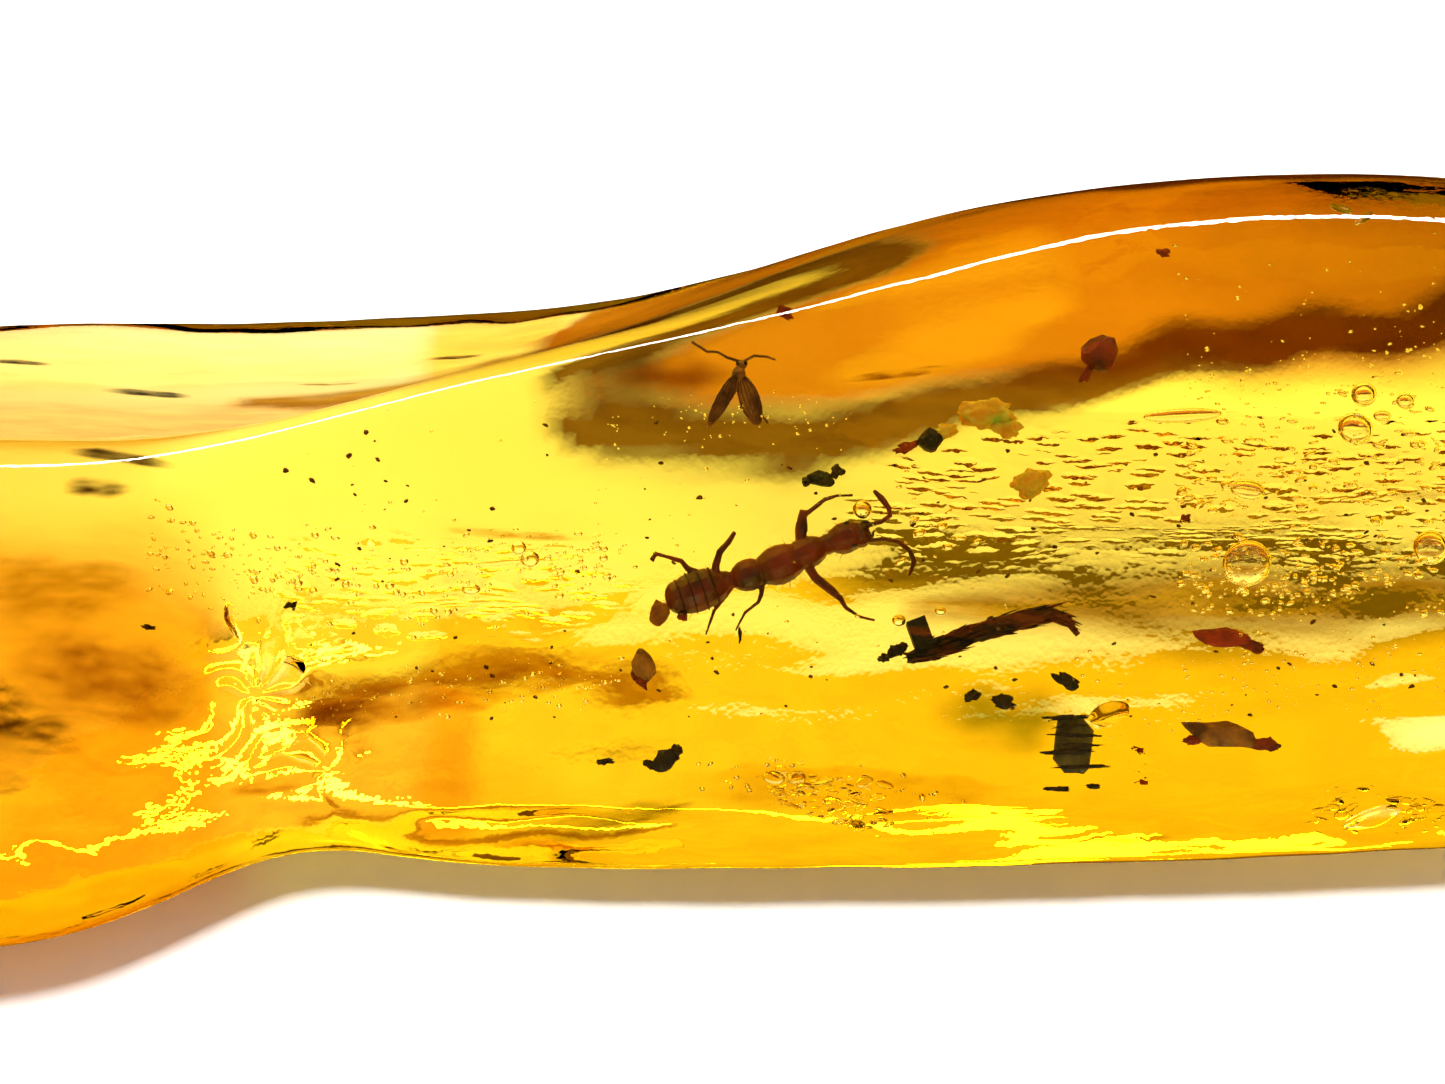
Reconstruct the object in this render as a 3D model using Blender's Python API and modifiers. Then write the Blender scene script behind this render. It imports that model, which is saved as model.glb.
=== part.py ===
"""Copal with insects: a long polished nugget of clear yellow copal, lying on its flat side, with an ant, a
gnat and scraps of bark and leaf sealed in it.

Metres, +Z up. X runs along the nugget, the low ledge and the back are at +Y, and the origin is under the
middle of the nugget, on the surface that it lies on. The clear stone is parted in two along one sloping
plane, and everything that is sealed in the stone lies in a pocket on that plane.

Lengths in the tables below are in millimetres.
"""

import math

import bmesh
import bpy
from mathutils import Matrix, Vector

MM = 0.001

# The nugget: half its length, and where its straight body ends and its round ends begin.
HALF_LENGTH = 25.0
BODY_HALF = 16.5
# The stations of the body's rings along X, and the end rings as shares of the round end's length.
STATIONS = (-16.5, -12.5, -9.0, -6.0, -2.0, 4.0, 10.0, 16.5)
END_SHARES = (0.45, 0.85)
END_ROUNDNESS = 1.7
# The point (y, z) that each round end draws in to: the left bulb's middle, and the right end's.
LEFT_CORE = (-2.4, 3.5)
RIGHT_CORE = (-0.4, 3.9)
SUBDIVISION = 2

# Lengthwise lines of the cage, each through (x, y, z) points, in the order they go round the section:
# under the front, up the front wall, over the crest, down to the ledge and round the back.
RAILS = {
    "base_front": [
        (-16.5, -7.4, 0), (-12.5, -7.1, 0), (-9, -5.2, 0), (-4, -5.6, 0), (5, -5.7, 0),
        (16.5, -5.2, 0),
    ],
    "front_foot": [
        (-16.5, -10.8, 1.2), (-12.5, -10.2, 1.1), (-9, -7.2, 0.7), (-6.5, -7.9, 0.6),
        (-4, -8.1, 0.6), (5, -8.1, 0.6), (16.5, -7.7, 0.7),
    ],
    "front_wall": [
        (-16.5, -11.2, 3.2), (-12.5, -10.4, 3.1), (-9, -7.6, 2.5), (-6.5, -8.2, 2.4),
        (-4, -8.3, 2.5), (5, -8.4, 2.7), (16.5, -7.9, 2.9),
    ],
    "brow": [
        (-16.5, -9.4, 6.1), (-12.5, -8.6, 6), (-9, -6.4, 5.2), (-4, -5.6, 5.9), (5, -4.2, 6.7),
        (16.5, -3.9, 6.7),
    ],
    "top": [
        (-16.5, -5.6, 7.8), (-12.5, -5.2, 7.7), (-9, -4, 7.2), (-4, -2.9, 7.7), (5, -1.6, 8.35),
        (16.5, -1.4, 8.4),
    ],
    "crest": [
        (-16.5, -1.5, 8), (-12.5, -1.6, 7.9), (-9, -1.1, 8.3), (-4, 0.4, 8.8), (0, 0.9, 8.6),
        (5, 1.4, 9.2), (10, 1.7, 9.4), (16.5, 1.3, 9.3),
    ],
    "saddle": [
        (-16.5, -0.3, 5.6), (-12.5, -0.5, 5.2), (-9, -0.3, 5.2), (-4, 1.3, 5.8), (0, 2.6, 7),
        (5, 3.7, 8.5), (10, 4.4, 9.1), (16.5, 4.3, 9),
    ],
    "ledge": [
        (-16.5, 3, 4.6), (-12.5, 2.8, 4.3), (-9, 2.9, 4), (-4, 3.8, 4.1), (0, 4.9, 5), (5, 6, 7),
        (16.5, 6.4, 7.3),
    ],
    "back_edge": [
        (-16.5, 6.2, 3.4), (-12.5, 6.3, 3.2), (-9, 6.6, 3.1), (-4, 6.7, 3.2), (0, 6.7, 3.6),
        (5, 6.9, 4.6), (16.5, 7.2, 4.8),
    ],
    "back_foot": [(-16.5, 6, 1.1), (-4, 6, 1), (5, 6.6, 1.5), (16.5, 6.8, 1.6)],
    "base_back": [(-16.5, 4.6, 0), (-4, 4.6, 0), (5, 5.2, 0), (16.5, 5.2, 0)],
}
# The underside is flat between these shares of the way from base_back to base_front.
BASE_SHARES = (0.14, 0.86)

# The parting plane: a point (y, z) on it, its slope up towards the back, and the gap between the halves.
PLANE_POINT = (-3.5, 4.6)
PLANE_TILT = math.radians(28)
PARTING_GAP = 0.3

# Places on the parting plane, as (a, b): a along X, b up the slope from the plane's point.
ANT_PLACE = (0.75, 0.42)
GNAT_PLACE = (0.39, 4.30)
# The ant's own measures, read across the stone, shrink a little when they are laid on the slope.
ANT_READING = (0.98, 0.96)

# The ant's body from tail to head: (a, b, c) centre and (a, b, c) half sizes, c being off the plane.
ANT_BODY = [
    ((-1.30, -0.34, 0.00), (0.70, 0.43, 0.38)),
    ((-1.72, -0.48, 0.00), (0.26, 0.34, 0.28)),
    ((-0.72, -0.12, 0.00), (0.20, 0.20, 0.22)),
    ((-0.24, 0.00, 0.02), (0.40, 0.33, 0.30)),
    ((0.42, 0.22, 0.06), (0.56, 0.39, 0.35)),
    ((0.98, 0.46, 0.05), (0.46, 0.31, 0.30)),
    ((1.42, 0.64, 0.02), (0.24, 0.20, 0.20)),
    ((1.80, 0.78, 0.00), (0.42, 0.31, 0.27)),
    ((2.10, 0.84, -0.02), (0.22, 0.26, 0.22)),
]
ANT_TURN = math.radians(19)

# Its legs and antennae: (a, b, c, radius) at each joint.
ANT_LIMBS = {
    "fore_leg_far": [
        (0.84, 0.62, 0.05, 0.09), (0.88, 0.92, 0.12, 0.14), (0.92, 1.25, 0.14, 0.11),
        (1.02, 1.26, 0.12, 0.055),
        (1.37, 1.55, 0.05, 0.050), (1.61, 1.64, 0.00, 0.035), (1.97, 1.67, -0.05, 0.028),
    ],
    "fore_leg_near": [
        (1.02, 0.20, 0.00, 0.10), (1.16, 0.00, -0.05, 0.10), (1.50, -0.26, -0.10, 0.095),
        (1.69, -0.45, -0.12, 0.065),
        (1.80, -0.66, -0.12, 0.050), (2.10, -0.87, -0.10, 0.035), (2.42, -0.96, -0.08, 0.028),
    ],
    "mid_leg_far": [
        (-1.25, 0.02, 0.10, 0.07), (-1.51, 0.10, 0.16, 0.07), (-1.64, 0.25, 0.20, 0.055),
        (-1.91, 0.32, 0.20, 0.040),
        (-2.17, 0.38, 0.18, 0.045), (-2.26, 0.26, 0.15, 0.060),
    ],
    "mid_leg_near": [
        (0.04, -0.20, 0.00, 0.07), (0.02, -0.40, -0.04, 0.055), (-0.05, -0.58, -0.08, 0.045),
        (-0.32, -0.79, -0.12, 0.035), (-0.51, -1.13, -0.15, 0.026),
    ],
    "hind_leg_far": [
        (-0.90, -0.02, 0.10, 0.08), (-0.92, 0.15, 0.16, 0.09), (-0.83, 0.44, 0.22, 0.075),
        (-0.66, 0.61, 0.24, 0.065),
        (-0.51, 0.83, 0.24, 0.045),
    ],
    "hind_leg_near": [
        (-0.60, -0.24, 0.00, 0.06), (-0.72, -0.44, -0.06, 0.050), (-0.96, -0.74, -0.12, 0.040),
        (-1.13, -1.22, -0.15, 0.026),
    ],
    "antenna_far": [
        (2.10, 0.98, 0.00, 0.060), (2.30, 1.03, 0.03, 0.050), (2.56, 1.10, 0.06, 0.052),
        (2.74, 1.22, 0.08, 0.060),
        (2.71, 1.38, 0.09, 0.065), (2.56, 1.57, 0.10, 0.075), (2.39, 1.74, 0.10, 0.040),
    ],
    "antenna_near": [
        (2.18, 0.72, 0.00, 0.050), (2.36, 0.73, -0.02, 0.045), (2.56, 0.77, -0.04, 0.045),
        (2.90, 0.72, -0.06, 0.055),
        (3.14, 0.55, -0.07, 0.065), (3.23, 0.34, -0.08, 0.068), (3.12, 0.04, -0.08, 0.035),
    ],
}

# The gnat: rounded parts as for the ant, then its abdomen, legs and antennae as tapering limbs.
GNAT_BODY = [
    ((0.04, 0.20, 0.00), (0.11, 0.10, 0.10)),
    ((-0.02, 0.00, 0.04), (0.15, 0.18, 0.15)),
]
GNAT_LIMBS = {
    "abdomen": [
        (-0.04, -0.06, 0.02, 0.11), (-0.22, -0.36, 0.00, 0.10), (-0.46, -0.72, -0.02, 0.075),
        (-0.68, -1.04, -0.04, 0.028),
    ],
    "leg_far": [(0.06, -0.06, 0.00, 0.035), (0.25, -0.50, -0.06, 0.030), (0.56, -0.92, -0.10, 0.024)],
    "leg_near": [(-0.08, -0.04, 0.00, 0.035), (-0.30, -0.22, 0.10, 0.030), (-0.34, -0.62, 0.14, 0.024)],
    "antenna_left": [
        (-0.01, 0.26, 0.03, 0.032), (-0.26, 0.33, 0.06, 0.027), (-0.45, 0.42, 0.08, 0.026),
        (-0.66, 0.42, 0.08, 0.026),
        (-0.97, 0.58, 0.08, 0.024),
    ],
    "antenna_right": [
        (0.08, 0.26, 0.03, 0.032), (0.30, 0.37, 0.05, 0.027), (0.56, 0.36, 0.06, 0.026),
        (0.74, 0.30, 0.06, 0.024),
    ],
}
# Its wings: root and tip as (a, b), full width at the broadest, and height off the plane.
GNAT_WINGS = [((-0.06, 0.02), (-0.66, -1.00), 0.30, 0.14), ((0.02, 0.00), (0.36, -0.98), 0.44, 0.10)]
WING_THICKNESS = 0.06

# The bark splinter is one bent sliver with a broken block at its thick end.
BARK_PLACE = (5.46, -0.65)
BARK_SLIVER = [
    (-1.70, -0.62, 0.00, 0.09), (-1.17, -0.45, 0.03, 0.17), (-0.62, -0.26, 0.00, 0.16),
    (0.11, 0.01, 0.04, 0.19),
    (0.70, 0.17, 0.00, 0.18), (1.26, 0.28, -0.03, 0.13), (1.58, 0.14, 0.00, 0.09),
    (1.80, -0.16, 0.02, 0.06),
]
BARK_BLOCK = ((-1.42, -0.16, 0.0), (0.20, 0.30, 0.17))

# Loose scraps: place (a, b), half sizes (a, b, c), turn in the plane in degrees, roughness of the outline
# as a share of the size, and colour.
SCRAPS = {
    "brown_flake": ((-1.33, -0.36), (0.20, 0.26, 0.08), -20, 0.30, (0.30, 0.10, 0.015)),
    "black_speck": ((2.04, 2.32), (0.29, 0.15, 0.13), -8, 0.28, (0.020, 0.022, 0.008)),
    "black_grain": ((4.28, 3.08), (0.27, 0.21, 0.18), 25, 0.28, (0.030, 0.016, 0.006)),
    "dark_red_grain": ((7.83, 4.79), (0.40, 0.36, 0.28), 30, 0.24, (0.16, 0.020, 0.010)),
    "red_chip": ((10.28, -0.84), (0.62, 0.19, 0.14), -6, 0.26, (0.22, 0.018, 0.012)),
    "brown_chip": ((10.25, -2.85), (0.78, 0.24, 0.15), -10, 0.34, (0.20, 0.075, 0.018)),
    "leaf_scrap": ((7.15, -3.05), (0.42, 0.64, 0.09), 8, 0.22, (0.10, 0.085, 0.025)),
    "twig_stub": ((-1.62, -1.38), (0.24, 0.34, 0.20), 15, 0.22, (0.24, 0.10, 0.02)),
    "black_flake": ((-1.17, -3.34), (0.29, 0.20, 0.12), 35, 0.34, (0.025, 0.016, 0.008)),
}
# The room left round a sealed thing in its pocket.
CLEARANCE = 0.3
ANT_POCKET = ((1.21, 0.64), (3.45, 2.1, 0.95))
GNAT_POCKET = ((0.32, 4.15), (1.75, 1.75, 0.62))
BARK_POCKET = ((5.49, -0.8), (2.40, 1.05, 0.62))


def clear_scene():
    """Removes every object, and the collections that held them."""
    for obj in list(bpy.data.objects):
        bpy.data.objects.remove(obj, do_unlink=True)
    for collection in list(bpy.data.collections):
        bpy.data.collections.remove(collection)


def new_collection(name):
    """A collection under the scene's own."""
    collection = bpy.data.collections.new(name)
    bpy.context.scene.collection.children.link(collection)
    return collection


def new_material(name, colour, roughness, transmission=0.0, ior=1.5):
    """A plain Principled material."""
    material = bpy.data.materials.new(name)
    material.use_nodes = True
    shader = material.node_tree.nodes["Principled BSDF"]
    shader.inputs["Base Color"].default_value = (*colour, 1.0)
    shader.inputs["Roughness"].default_value = roughness
    shader.inputs["Metallic"].default_value = 0.0
    shader.inputs["Transmission Weight"].default_value = transmission
    shader.inputs["IOR"].default_value = ior
    material.diffuse_color = (*colour, 1.0)
    return material


def object_from(bm, name, collection, material=None):
    """Turns a bmesh in millimetres into a named object in metres."""
    bmesh.ops.scale(bm, vec=(MM, MM, MM), verts=bm.verts)
    mesh = bpy.data.meshes.new(name)
    bm.to_mesh(mesh)
    bm.free()
    mesh.shade_smooth()
    if material:
        mesh.materials.append(material)
    obj = bpy.data.objects.new(name, mesh)
    collection.objects.link(obj)
    return obj


def as_helper(obj):
    """Marks an object as a cutter or an operand, which isn't part of the model."""
    obj.hide_render = True
    obj.display_type = "WIRE"
    return obj


def cut(obj, operation, operand, name):
    """Adds a Boolean with an object or with a whole collection."""
    modifier = obj.modifiers.new(name, "BOOLEAN")
    modifier.operation = operation
    modifier.solver = "EXACT"
    if isinstance(operand, bpy.types.Collection):
        modifier.operand_type = "COLLECTION"
        modifier.collection = operand
    else:
        modifier.object = operand
    return modifier


def along_rail(knots, x):
    """The (y, z) where a smooth curve through the rail's points passes the station x."""
    places = [knot[0] for knot in knots]
    points = [Vector(knot[1:]) for knot in knots]
    if x <= places[0]:
        return points[0]
    if x >= places[-1]:
        return points[-1]
    i = max(j for j in range(len(places) - 1) if places[j] <= x)

    def slope(j):
        before, after = max(j - 1, 0), min(j + 1, len(places) - 1)
        return (points[after] - points[before]) / (places[after] - places[before])

    span = places[i + 1] - places[i]
    t = (x - places[i]) / span
    return (
        (2 * t**3 - 3 * t**2 + 1) * points[i]
        + (t**3 - 2 * t**2 + t) * span * slope(i)
        + (3 * t**2 - 2 * t**3) * points[i + 1]
        + (t**3 - t**2) * span * slope(i + 1)
    )


def section_at(x):
    """The cage's section at x as (y, z) points. Past the body it shrinks to a round end."""
    inner = max(-BODY_HALF, min(BODY_HALF, x))
    past = (abs(x) - abs(inner)) / (HALF_LENGTH - BODY_HALF)
    share = math.sqrt(1 - past**END_ROUNDNESS)
    section = [along_rail(knots, inner) for knots in RAILS.values()]
    section += [section[-1].lerp(section[0], s) for s in BASE_SHARES]
    core = Vector(LEFT_CORE if x < 0 else RIGHT_CORE)
    return [core + (point - core) * share for point in section]


def stone_cage():
    """The nugget's coarse cage: a loft of unlike sections, closed at both ends."""
    ends = [BODY_HALF + (HALF_LENGTH - BODY_HALF) * s for s in END_SHARES]
    stations = [-x for x in reversed(ends)] + list(STATIONS) + ends
    bm = bmesh.new()
    rings = [[bm.verts.new((x, *point)) for point in section_at(x)] for x in stations]
    for ring, following in zip(rings, rings[1:]):
        for i, vert in enumerate(ring):
            j = (i + 1) % len(ring)
            bm.faces.new((vert, ring[j], following[j], following[i]))
    bm.faces.new(rings[0])
    bm.faces.new(rings[-1])
    bmesh.ops.recalc_face_normals(bm, faces=bm.faces)
    return bm


def smoothed_stone(helpers):
    """The subdivided nugget, moved so that the middle of its box stands over the origin.

    Returns the object and the shift, which everything on the parting plane takes too.
    """
    obj = as_helper(object_from(stone_cage(), "stone_whole", helpers))
    subdivision = obj.modifiers.new("smooth", "SUBSURF")
    subdivision.levels = SUBDIVISION
    subdivision.render_levels = SUBDIVISION
    bpy.context.view_layer.update()
    evaluated = obj.evaluated_get(bpy.context.evaluated_depsgraph_get())
    mesh = bpy.data.meshes.new_from_object(evaluated)
    obj.modifiers.clear()
    obj.data = mesh
    low = Vector([min(v.co[k] for v in mesh.vertices) for k in range(3)])
    high = Vector([max(v.co[k] for v in mesh.vertices) for k in range(3)])
    shift = -Vector(((low.x + high.x) / 2, (low.y + high.y) / 2, low.z))
    mesh.transform(Matrix.Translation(shift))
    return obj, shift


def plane_frame(shift):
    """The parting plane's frame, in metres: X along the nugget, Y up the slope, Z square off the plane."""
    origin = Vector((0, PLANE_POINT[0], PLANE_POINT[1])) * MM + shift
    return Matrix.Translation(origin) @ Matrix.Rotation(PLANE_TILT, 4, "X")


def half_space(name, frame, upper, helpers):
    """A block that covers all the space on one side of the parting gap."""
    size, side = 80.0, 1 if upper else -1
    bm = bmesh.new()
    bmesh.ops.create_cube(bm, size=size)
    bmesh.ops.translate(bm, vec=(0, 0, side * (size / 2 - PARTING_GAP / 2)), verts=bm.verts)
    obj = as_helper(object_from(bm, name, helpers))
    obj.matrix_world = frame
    return obj


def ellipsoid(bm, centre, halves, turn=0.0, segments=12, rings=8):
    """Adds a ball stretched to its half sizes and turned in the plane."""
    made = bmesh.ops.create_uvsphere(bm, u_segments=segments, v_segments=rings, radius=1)["verts"]
    place = Matrix.Translation(centre) @ Matrix.Rotation(turn, 4, "Z") @ Matrix.Diagonal((*halves, 1))
    bmesh.ops.transform(bm, matrix=place @ Matrix.Rotation(math.pi / 2, 4, "Y"), verts=made)
    return made


def pocket(name, place, halves, frame, helpers, segments=8, rings=6):
    """A rounded pocket centred on the parting plane."""
    bm = bmesh.new()
    sizes = (halves[2], halves[1], halves[0])
    made = bmesh.ops.create_uvsphere(bm, u_segments=segments, v_segments=rings, radius=1)["verts"]
    turn = Matrix.Rotation(math.pi / 2, 4, "Y")
    bmesh.ops.transform(
        bm, matrix=Matrix.Translation((*place, 0)) @ turn @ Matrix.Diagonal((*sizes, 1)), verts=made
    )
    obj = as_helper(object_from(bm, name, helpers))
    obj.matrix_world = frame
    return obj


def limb(name, joints, helpers, scale=(1.0, 1.0), sides=1):
    """A tapering tube through its joints, as a closed mesh in millimetres of the plane's frame."""
    curve = bpy.data.curves.new(name, "CURVE")
    curve.dimensions = "3D"
    curve.bevel_depth = 1.0
    curve.bevel_resolution = sides
    curve.use_fill_caps = True
    spline = curve.splines.new("POLY")
    spline.points.add(len(joints) - 1)
    for point, (a, b, c, radius) in zip(spline.points, joints):
        point.co = (a * scale[0], b * scale[1], c, 1)
        point.radius = radius
    obj = bpy.data.objects.new(name, curve)
    helpers.objects.link(obj)
    bpy.context.view_layer.update()
    evaluated = obj.evaluated_get(bpy.context.evaluated_depsgraph_get())
    bm = bmesh.new()
    bm.from_mesh(bpy.data.meshes.new_from_object(evaluated))
    bpy.data.objects.remove(obj, do_unlink=True)
    bmesh.ops.remove_doubles(bm, verts=bm.verts, dist=1e-4)
    bmesh.ops.recalc_face_normals(bm, faces=bm.faces)
    return bm


def joined(name, pieces, place, frame, collection, helpers, material):
    """One animal or splinter: the first closed piece, united with all the others.

    Each piece is a bmesh in millimetres, in the frame of the plane and about the given place.
    """
    group = bpy.data.collections.new(name + "_pieces")
    helpers.children.link(group)
    where = frame @ Matrix.Translation((place[0] * MM, place[1] * MM, 0))
    obj = object_from(pieces[0], name, collection, material)
    obj.matrix_world = where
    for number, piece in enumerate(pieces[1:]):
        other = as_helper(object_from(piece, f"{name}_piece_{number}", group))
        other.matrix_world = where
    cut(obj, "UNION", group, "join")
    return obj


def make_ant(frame, collection, helpers, material):
    """The ant: overlapping rounded body parts, six legs and two antennae."""
    a, b = ANT_READING
    pieces = []
    for centre, halves in ANT_BODY:
        bm = bmesh.new()
        ellipsoid(bm, (centre[0] * a, centre[1] * b, centre[2]), halves, ANT_TURN, 10, 8)
        pieces.append(bm)
    pieces += [limb("ant_" + name, joints, helpers, ANT_READING) for name, joints in ANT_LIMBS.items()]
    return joined("ant", pieces, ANT_PLACE, frame, collection, helpers, material)


def make_gnat(frame, collection, helpers, material):
    """The gnat: head, thorax, tapering abdomen, two wings, two legs and two long antennae."""
    pieces = []
    for centre, halves in GNAT_BODY:
        bm = bmesh.new()
        ellipsoid(bm, centre, halves, 0.0, 10, 6)
        pieces.append(bm)
    for root, tip, width, height in GNAT_WINGS:
        run = Vector(tip) - Vector(root)
        middle = (Vector(root) + Vector(tip)) / 2
        bm = bmesh.new()
        sizes = (run.length / 2, width / 2, WING_THICKNESS / 2)
        ellipsoid(bm, (middle.x, middle.y, height), sizes, math.atan2(run.y, run.x), 8, 8)
        pieces.append(bm)
    pieces += [limb("gnat_" + name, joints, helpers) for name, joints in GNAT_LIMBS.items()]
    return joined("gnat", pieces, GNAT_PLACE, frame, collection, helpers, material)


def make_bark(frame, collection, helpers, material):
    """The bark splinter: a bent sliver and the broken block at its end."""
    block = bmesh.new()
    centre, halves = BARK_BLOCK
    bmesh.ops.create_cube(block, size=2)
    bmesh.ops.transform(
        block,
        matrix=Matrix.Translation(centre) @ Matrix.Rotation(0.35, 4, "Z") @ Matrix.Diagonal((*halves, 1)),
        verts=block.verts,
    )
    pieces = [limb("bark_sliver", BARK_SLIVER, helpers, sides=2), block]
    return joined("bark_splinter", pieces, BARK_PLACE, frame, collection, helpers, material)


def make_scrap(name, frame, collection, material):
    """A small torn scrap: a ball stretched flat, its surface pushed in and out along smooth waves."""
    place, halves, turn, rough, _ = SCRAPS[name]
    phase = sum(map(ord, name)) * 0.37
    bm = bmesh.new()
    bmesh.ops.create_icosphere(bm, subdivisions=2, radius=1)
    for vert in bm.verts:
        x, y, z = vert.co
        wave = math.sin(5.1 * x + 2.3 * y + phase)
        wave += math.sin(4.3 * y - 3.7 * z + 2 * phase) * math.cos(3.9 * x - phase)
        vert.co *= 1 + rough * 0.5 * wave
    bmesh.ops.transform(
        bm,
        matrix=Matrix.Rotation(math.radians(turn), 4, "Z") @ Matrix.Diagonal((*halves, 1)),
        verts=bm.verts,
    )
    obj = object_from(bm, name, collection, material)
    obj.matrix_world = frame @ Matrix.Translation((place[0] * MM, place[1] * MM, 0))
    return obj


def scrap_pocket(name, frame, helpers):
    """The pocket of a scrap, a little larger than the scrap can reach in any turn."""
    place, halves, turn, rough, _ = SCRAPS[name]
    angle, reach = math.radians(turn), 1 + rough * 0.6
    across = math.hypot(halves[0] * math.cos(angle), halves[1] * math.sin(angle)) * reach + CLEARANCE
    along = math.hypot(halves[0] * math.sin(angle), halves[1] * math.cos(angle)) * reach + CLEARANCE
    return pocket(name + "_pocket", place, (across, along, halves[2] * reach + CLEARANCE), frame, helpers)


def make_halves(whole, frame, collection, helpers, pockets, material):
    """The clear stone as two halves, each with its side of every pocket."""
    made = []
    for name, away_from in (("copal_upper", False), ("copal_lower", True)):
        obj = whole.copy()
        obj.data = whole.data.copy()
        obj.name = name
        obj.hide_render = False
        obj.display_type = "TEXTURED"
        obj.data.materials.append(material)
        collection.objects.link(obj)
        cut(obj, "DIFFERENCE", half_space(name + "_other_side", frame, away_from, helpers), "part")
        cut(obj, "DIFFERENCE", pockets, "pockets")
        made.append(obj)
    return made


def main():
    """Builds the nugget and everything in it."""
    clear_scene()
    collection = new_collection("copal_with_insects")
    helpers = new_collection("cutters")
    pockets = bpy.data.collections.new("pockets")
    helpers.children.link(pockets)

    copal = new_material("copal", (0.95, 0.66, 0.06), 0.03, transmission=1.0, ior=1.54)
    chitin = new_material("ant_chitin", (0.17, 0.022, 0.008), 0.3)
    gnat_brown = new_material("gnat_chitin", (0.20, 0.07, 0.015), 0.35)
    bark = new_material("bark", (0.05, 0.022, 0.010), 0.75)

    whole, shift = smoothed_stone(helpers)
    frame = plane_frame(shift)
    for name, (place, halves) in (("ant", ANT_POCKET), ("gnat", GNAT_POCKET), ("bark", BARK_POCKET)):
        pocket(name + "_pocket", place, halves, frame, pockets, 12, 8)
    for name in SCRAPS:
        scrap_pocket(name, frame, pockets)
    make_halves(whole, frame, collection, helpers, pockets, copal)

    make_ant(frame, collection, helpers, chitin)
    make_gnat(frame, collection, helpers, gnat_brown)
    make_bark(frame, collection, helpers, bark)
    for name, (*_, colour) in SCRAPS.items():
        make_scrap(name, frame, collection, new_material(name, colour, 0.65))


main()
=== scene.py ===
"""The looks of a piece of copal with insects in it: a long polished nugget of clear yellow resin.

It lies on a pale floor. One clear stone stands for the two halves of the construction model. It is smoothed
from the same lengthwise lines, and holds the air bubbles and cracks as closed hollows. The ant, the gnat
and the scraps of bark and leaf are the construction model's own pieces with finer finishes, and small
dressing pieces ride beside them.

Lengths in the classes below are in millimetres of the real thing. Places in the stone are given on the
sloping plane that its insects lie along: a runs along the nugget, b up the slope towards the back, c
square off it.
"""

from __future__ import annotations

import logging
import math
import random
from collections.abc import Iterable, Sequence
from dataclasses import dataclass, field
from enum import Enum

import bmesh
import bpy
from mathutils import Euler, Matrix, Vector, noise
from mathutils.bvhtree import BVHTree


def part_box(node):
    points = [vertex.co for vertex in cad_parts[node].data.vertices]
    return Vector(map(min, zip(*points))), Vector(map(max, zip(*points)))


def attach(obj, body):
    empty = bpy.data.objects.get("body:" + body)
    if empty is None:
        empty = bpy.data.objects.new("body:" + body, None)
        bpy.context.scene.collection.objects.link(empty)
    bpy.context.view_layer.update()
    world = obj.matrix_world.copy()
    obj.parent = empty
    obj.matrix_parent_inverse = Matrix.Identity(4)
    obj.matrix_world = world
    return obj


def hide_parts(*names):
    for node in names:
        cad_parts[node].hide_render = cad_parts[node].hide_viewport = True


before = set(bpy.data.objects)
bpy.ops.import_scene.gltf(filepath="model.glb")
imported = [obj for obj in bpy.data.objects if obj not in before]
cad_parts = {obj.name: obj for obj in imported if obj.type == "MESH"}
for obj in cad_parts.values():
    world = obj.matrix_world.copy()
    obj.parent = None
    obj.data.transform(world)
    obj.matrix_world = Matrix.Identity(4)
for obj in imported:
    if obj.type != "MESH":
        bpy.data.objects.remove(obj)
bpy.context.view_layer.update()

MM = 0.001
LOG = logging.getLogger("copal")

# The plane that the insects lie along: a point (y, z) on it and its slope up towards the back.
PLANE_POINT = (-1.651, 4.6)
PLANE_TILT = math.radians(28)
PLANE = Matrix.Translation((0, PLANE_POINT[0], PLANE_POINT[1])) @ Matrix.Rotation(PLANE_TILT, 4, "X")

# The stone's vertex colour layer, which holds what the skin lets through, with its stain marks, painted
# shade and painted light, and how streaky it is.
STAIN_AND_LIGHT_LAYER = "stain_and_painted_light"

# The layer that holds how strongly the skin is pitted by fine casting marks.
PIT_LAYER = "pitted"

Colour = tuple[float, float, float]
Place = tuple[float, float, float]


class Slot(Enum):
    """The material slots of the record."""

    COPAL = "copal"
    ANT = "ant_chitin"
    GNAT = "gnat_chitin"
    BARK = "bark"
    SCRAP = "plant_scrap"
    GRAIN = "dark_grain"


class Grain(Enum):
    """How the pattern of a finish runs over a piece: even, or drawn out along the nugget."""

    EVEN = (1.0, 1.0, 1.0)
    ALONG = (0.22, 1.0, 1.0)


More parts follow.
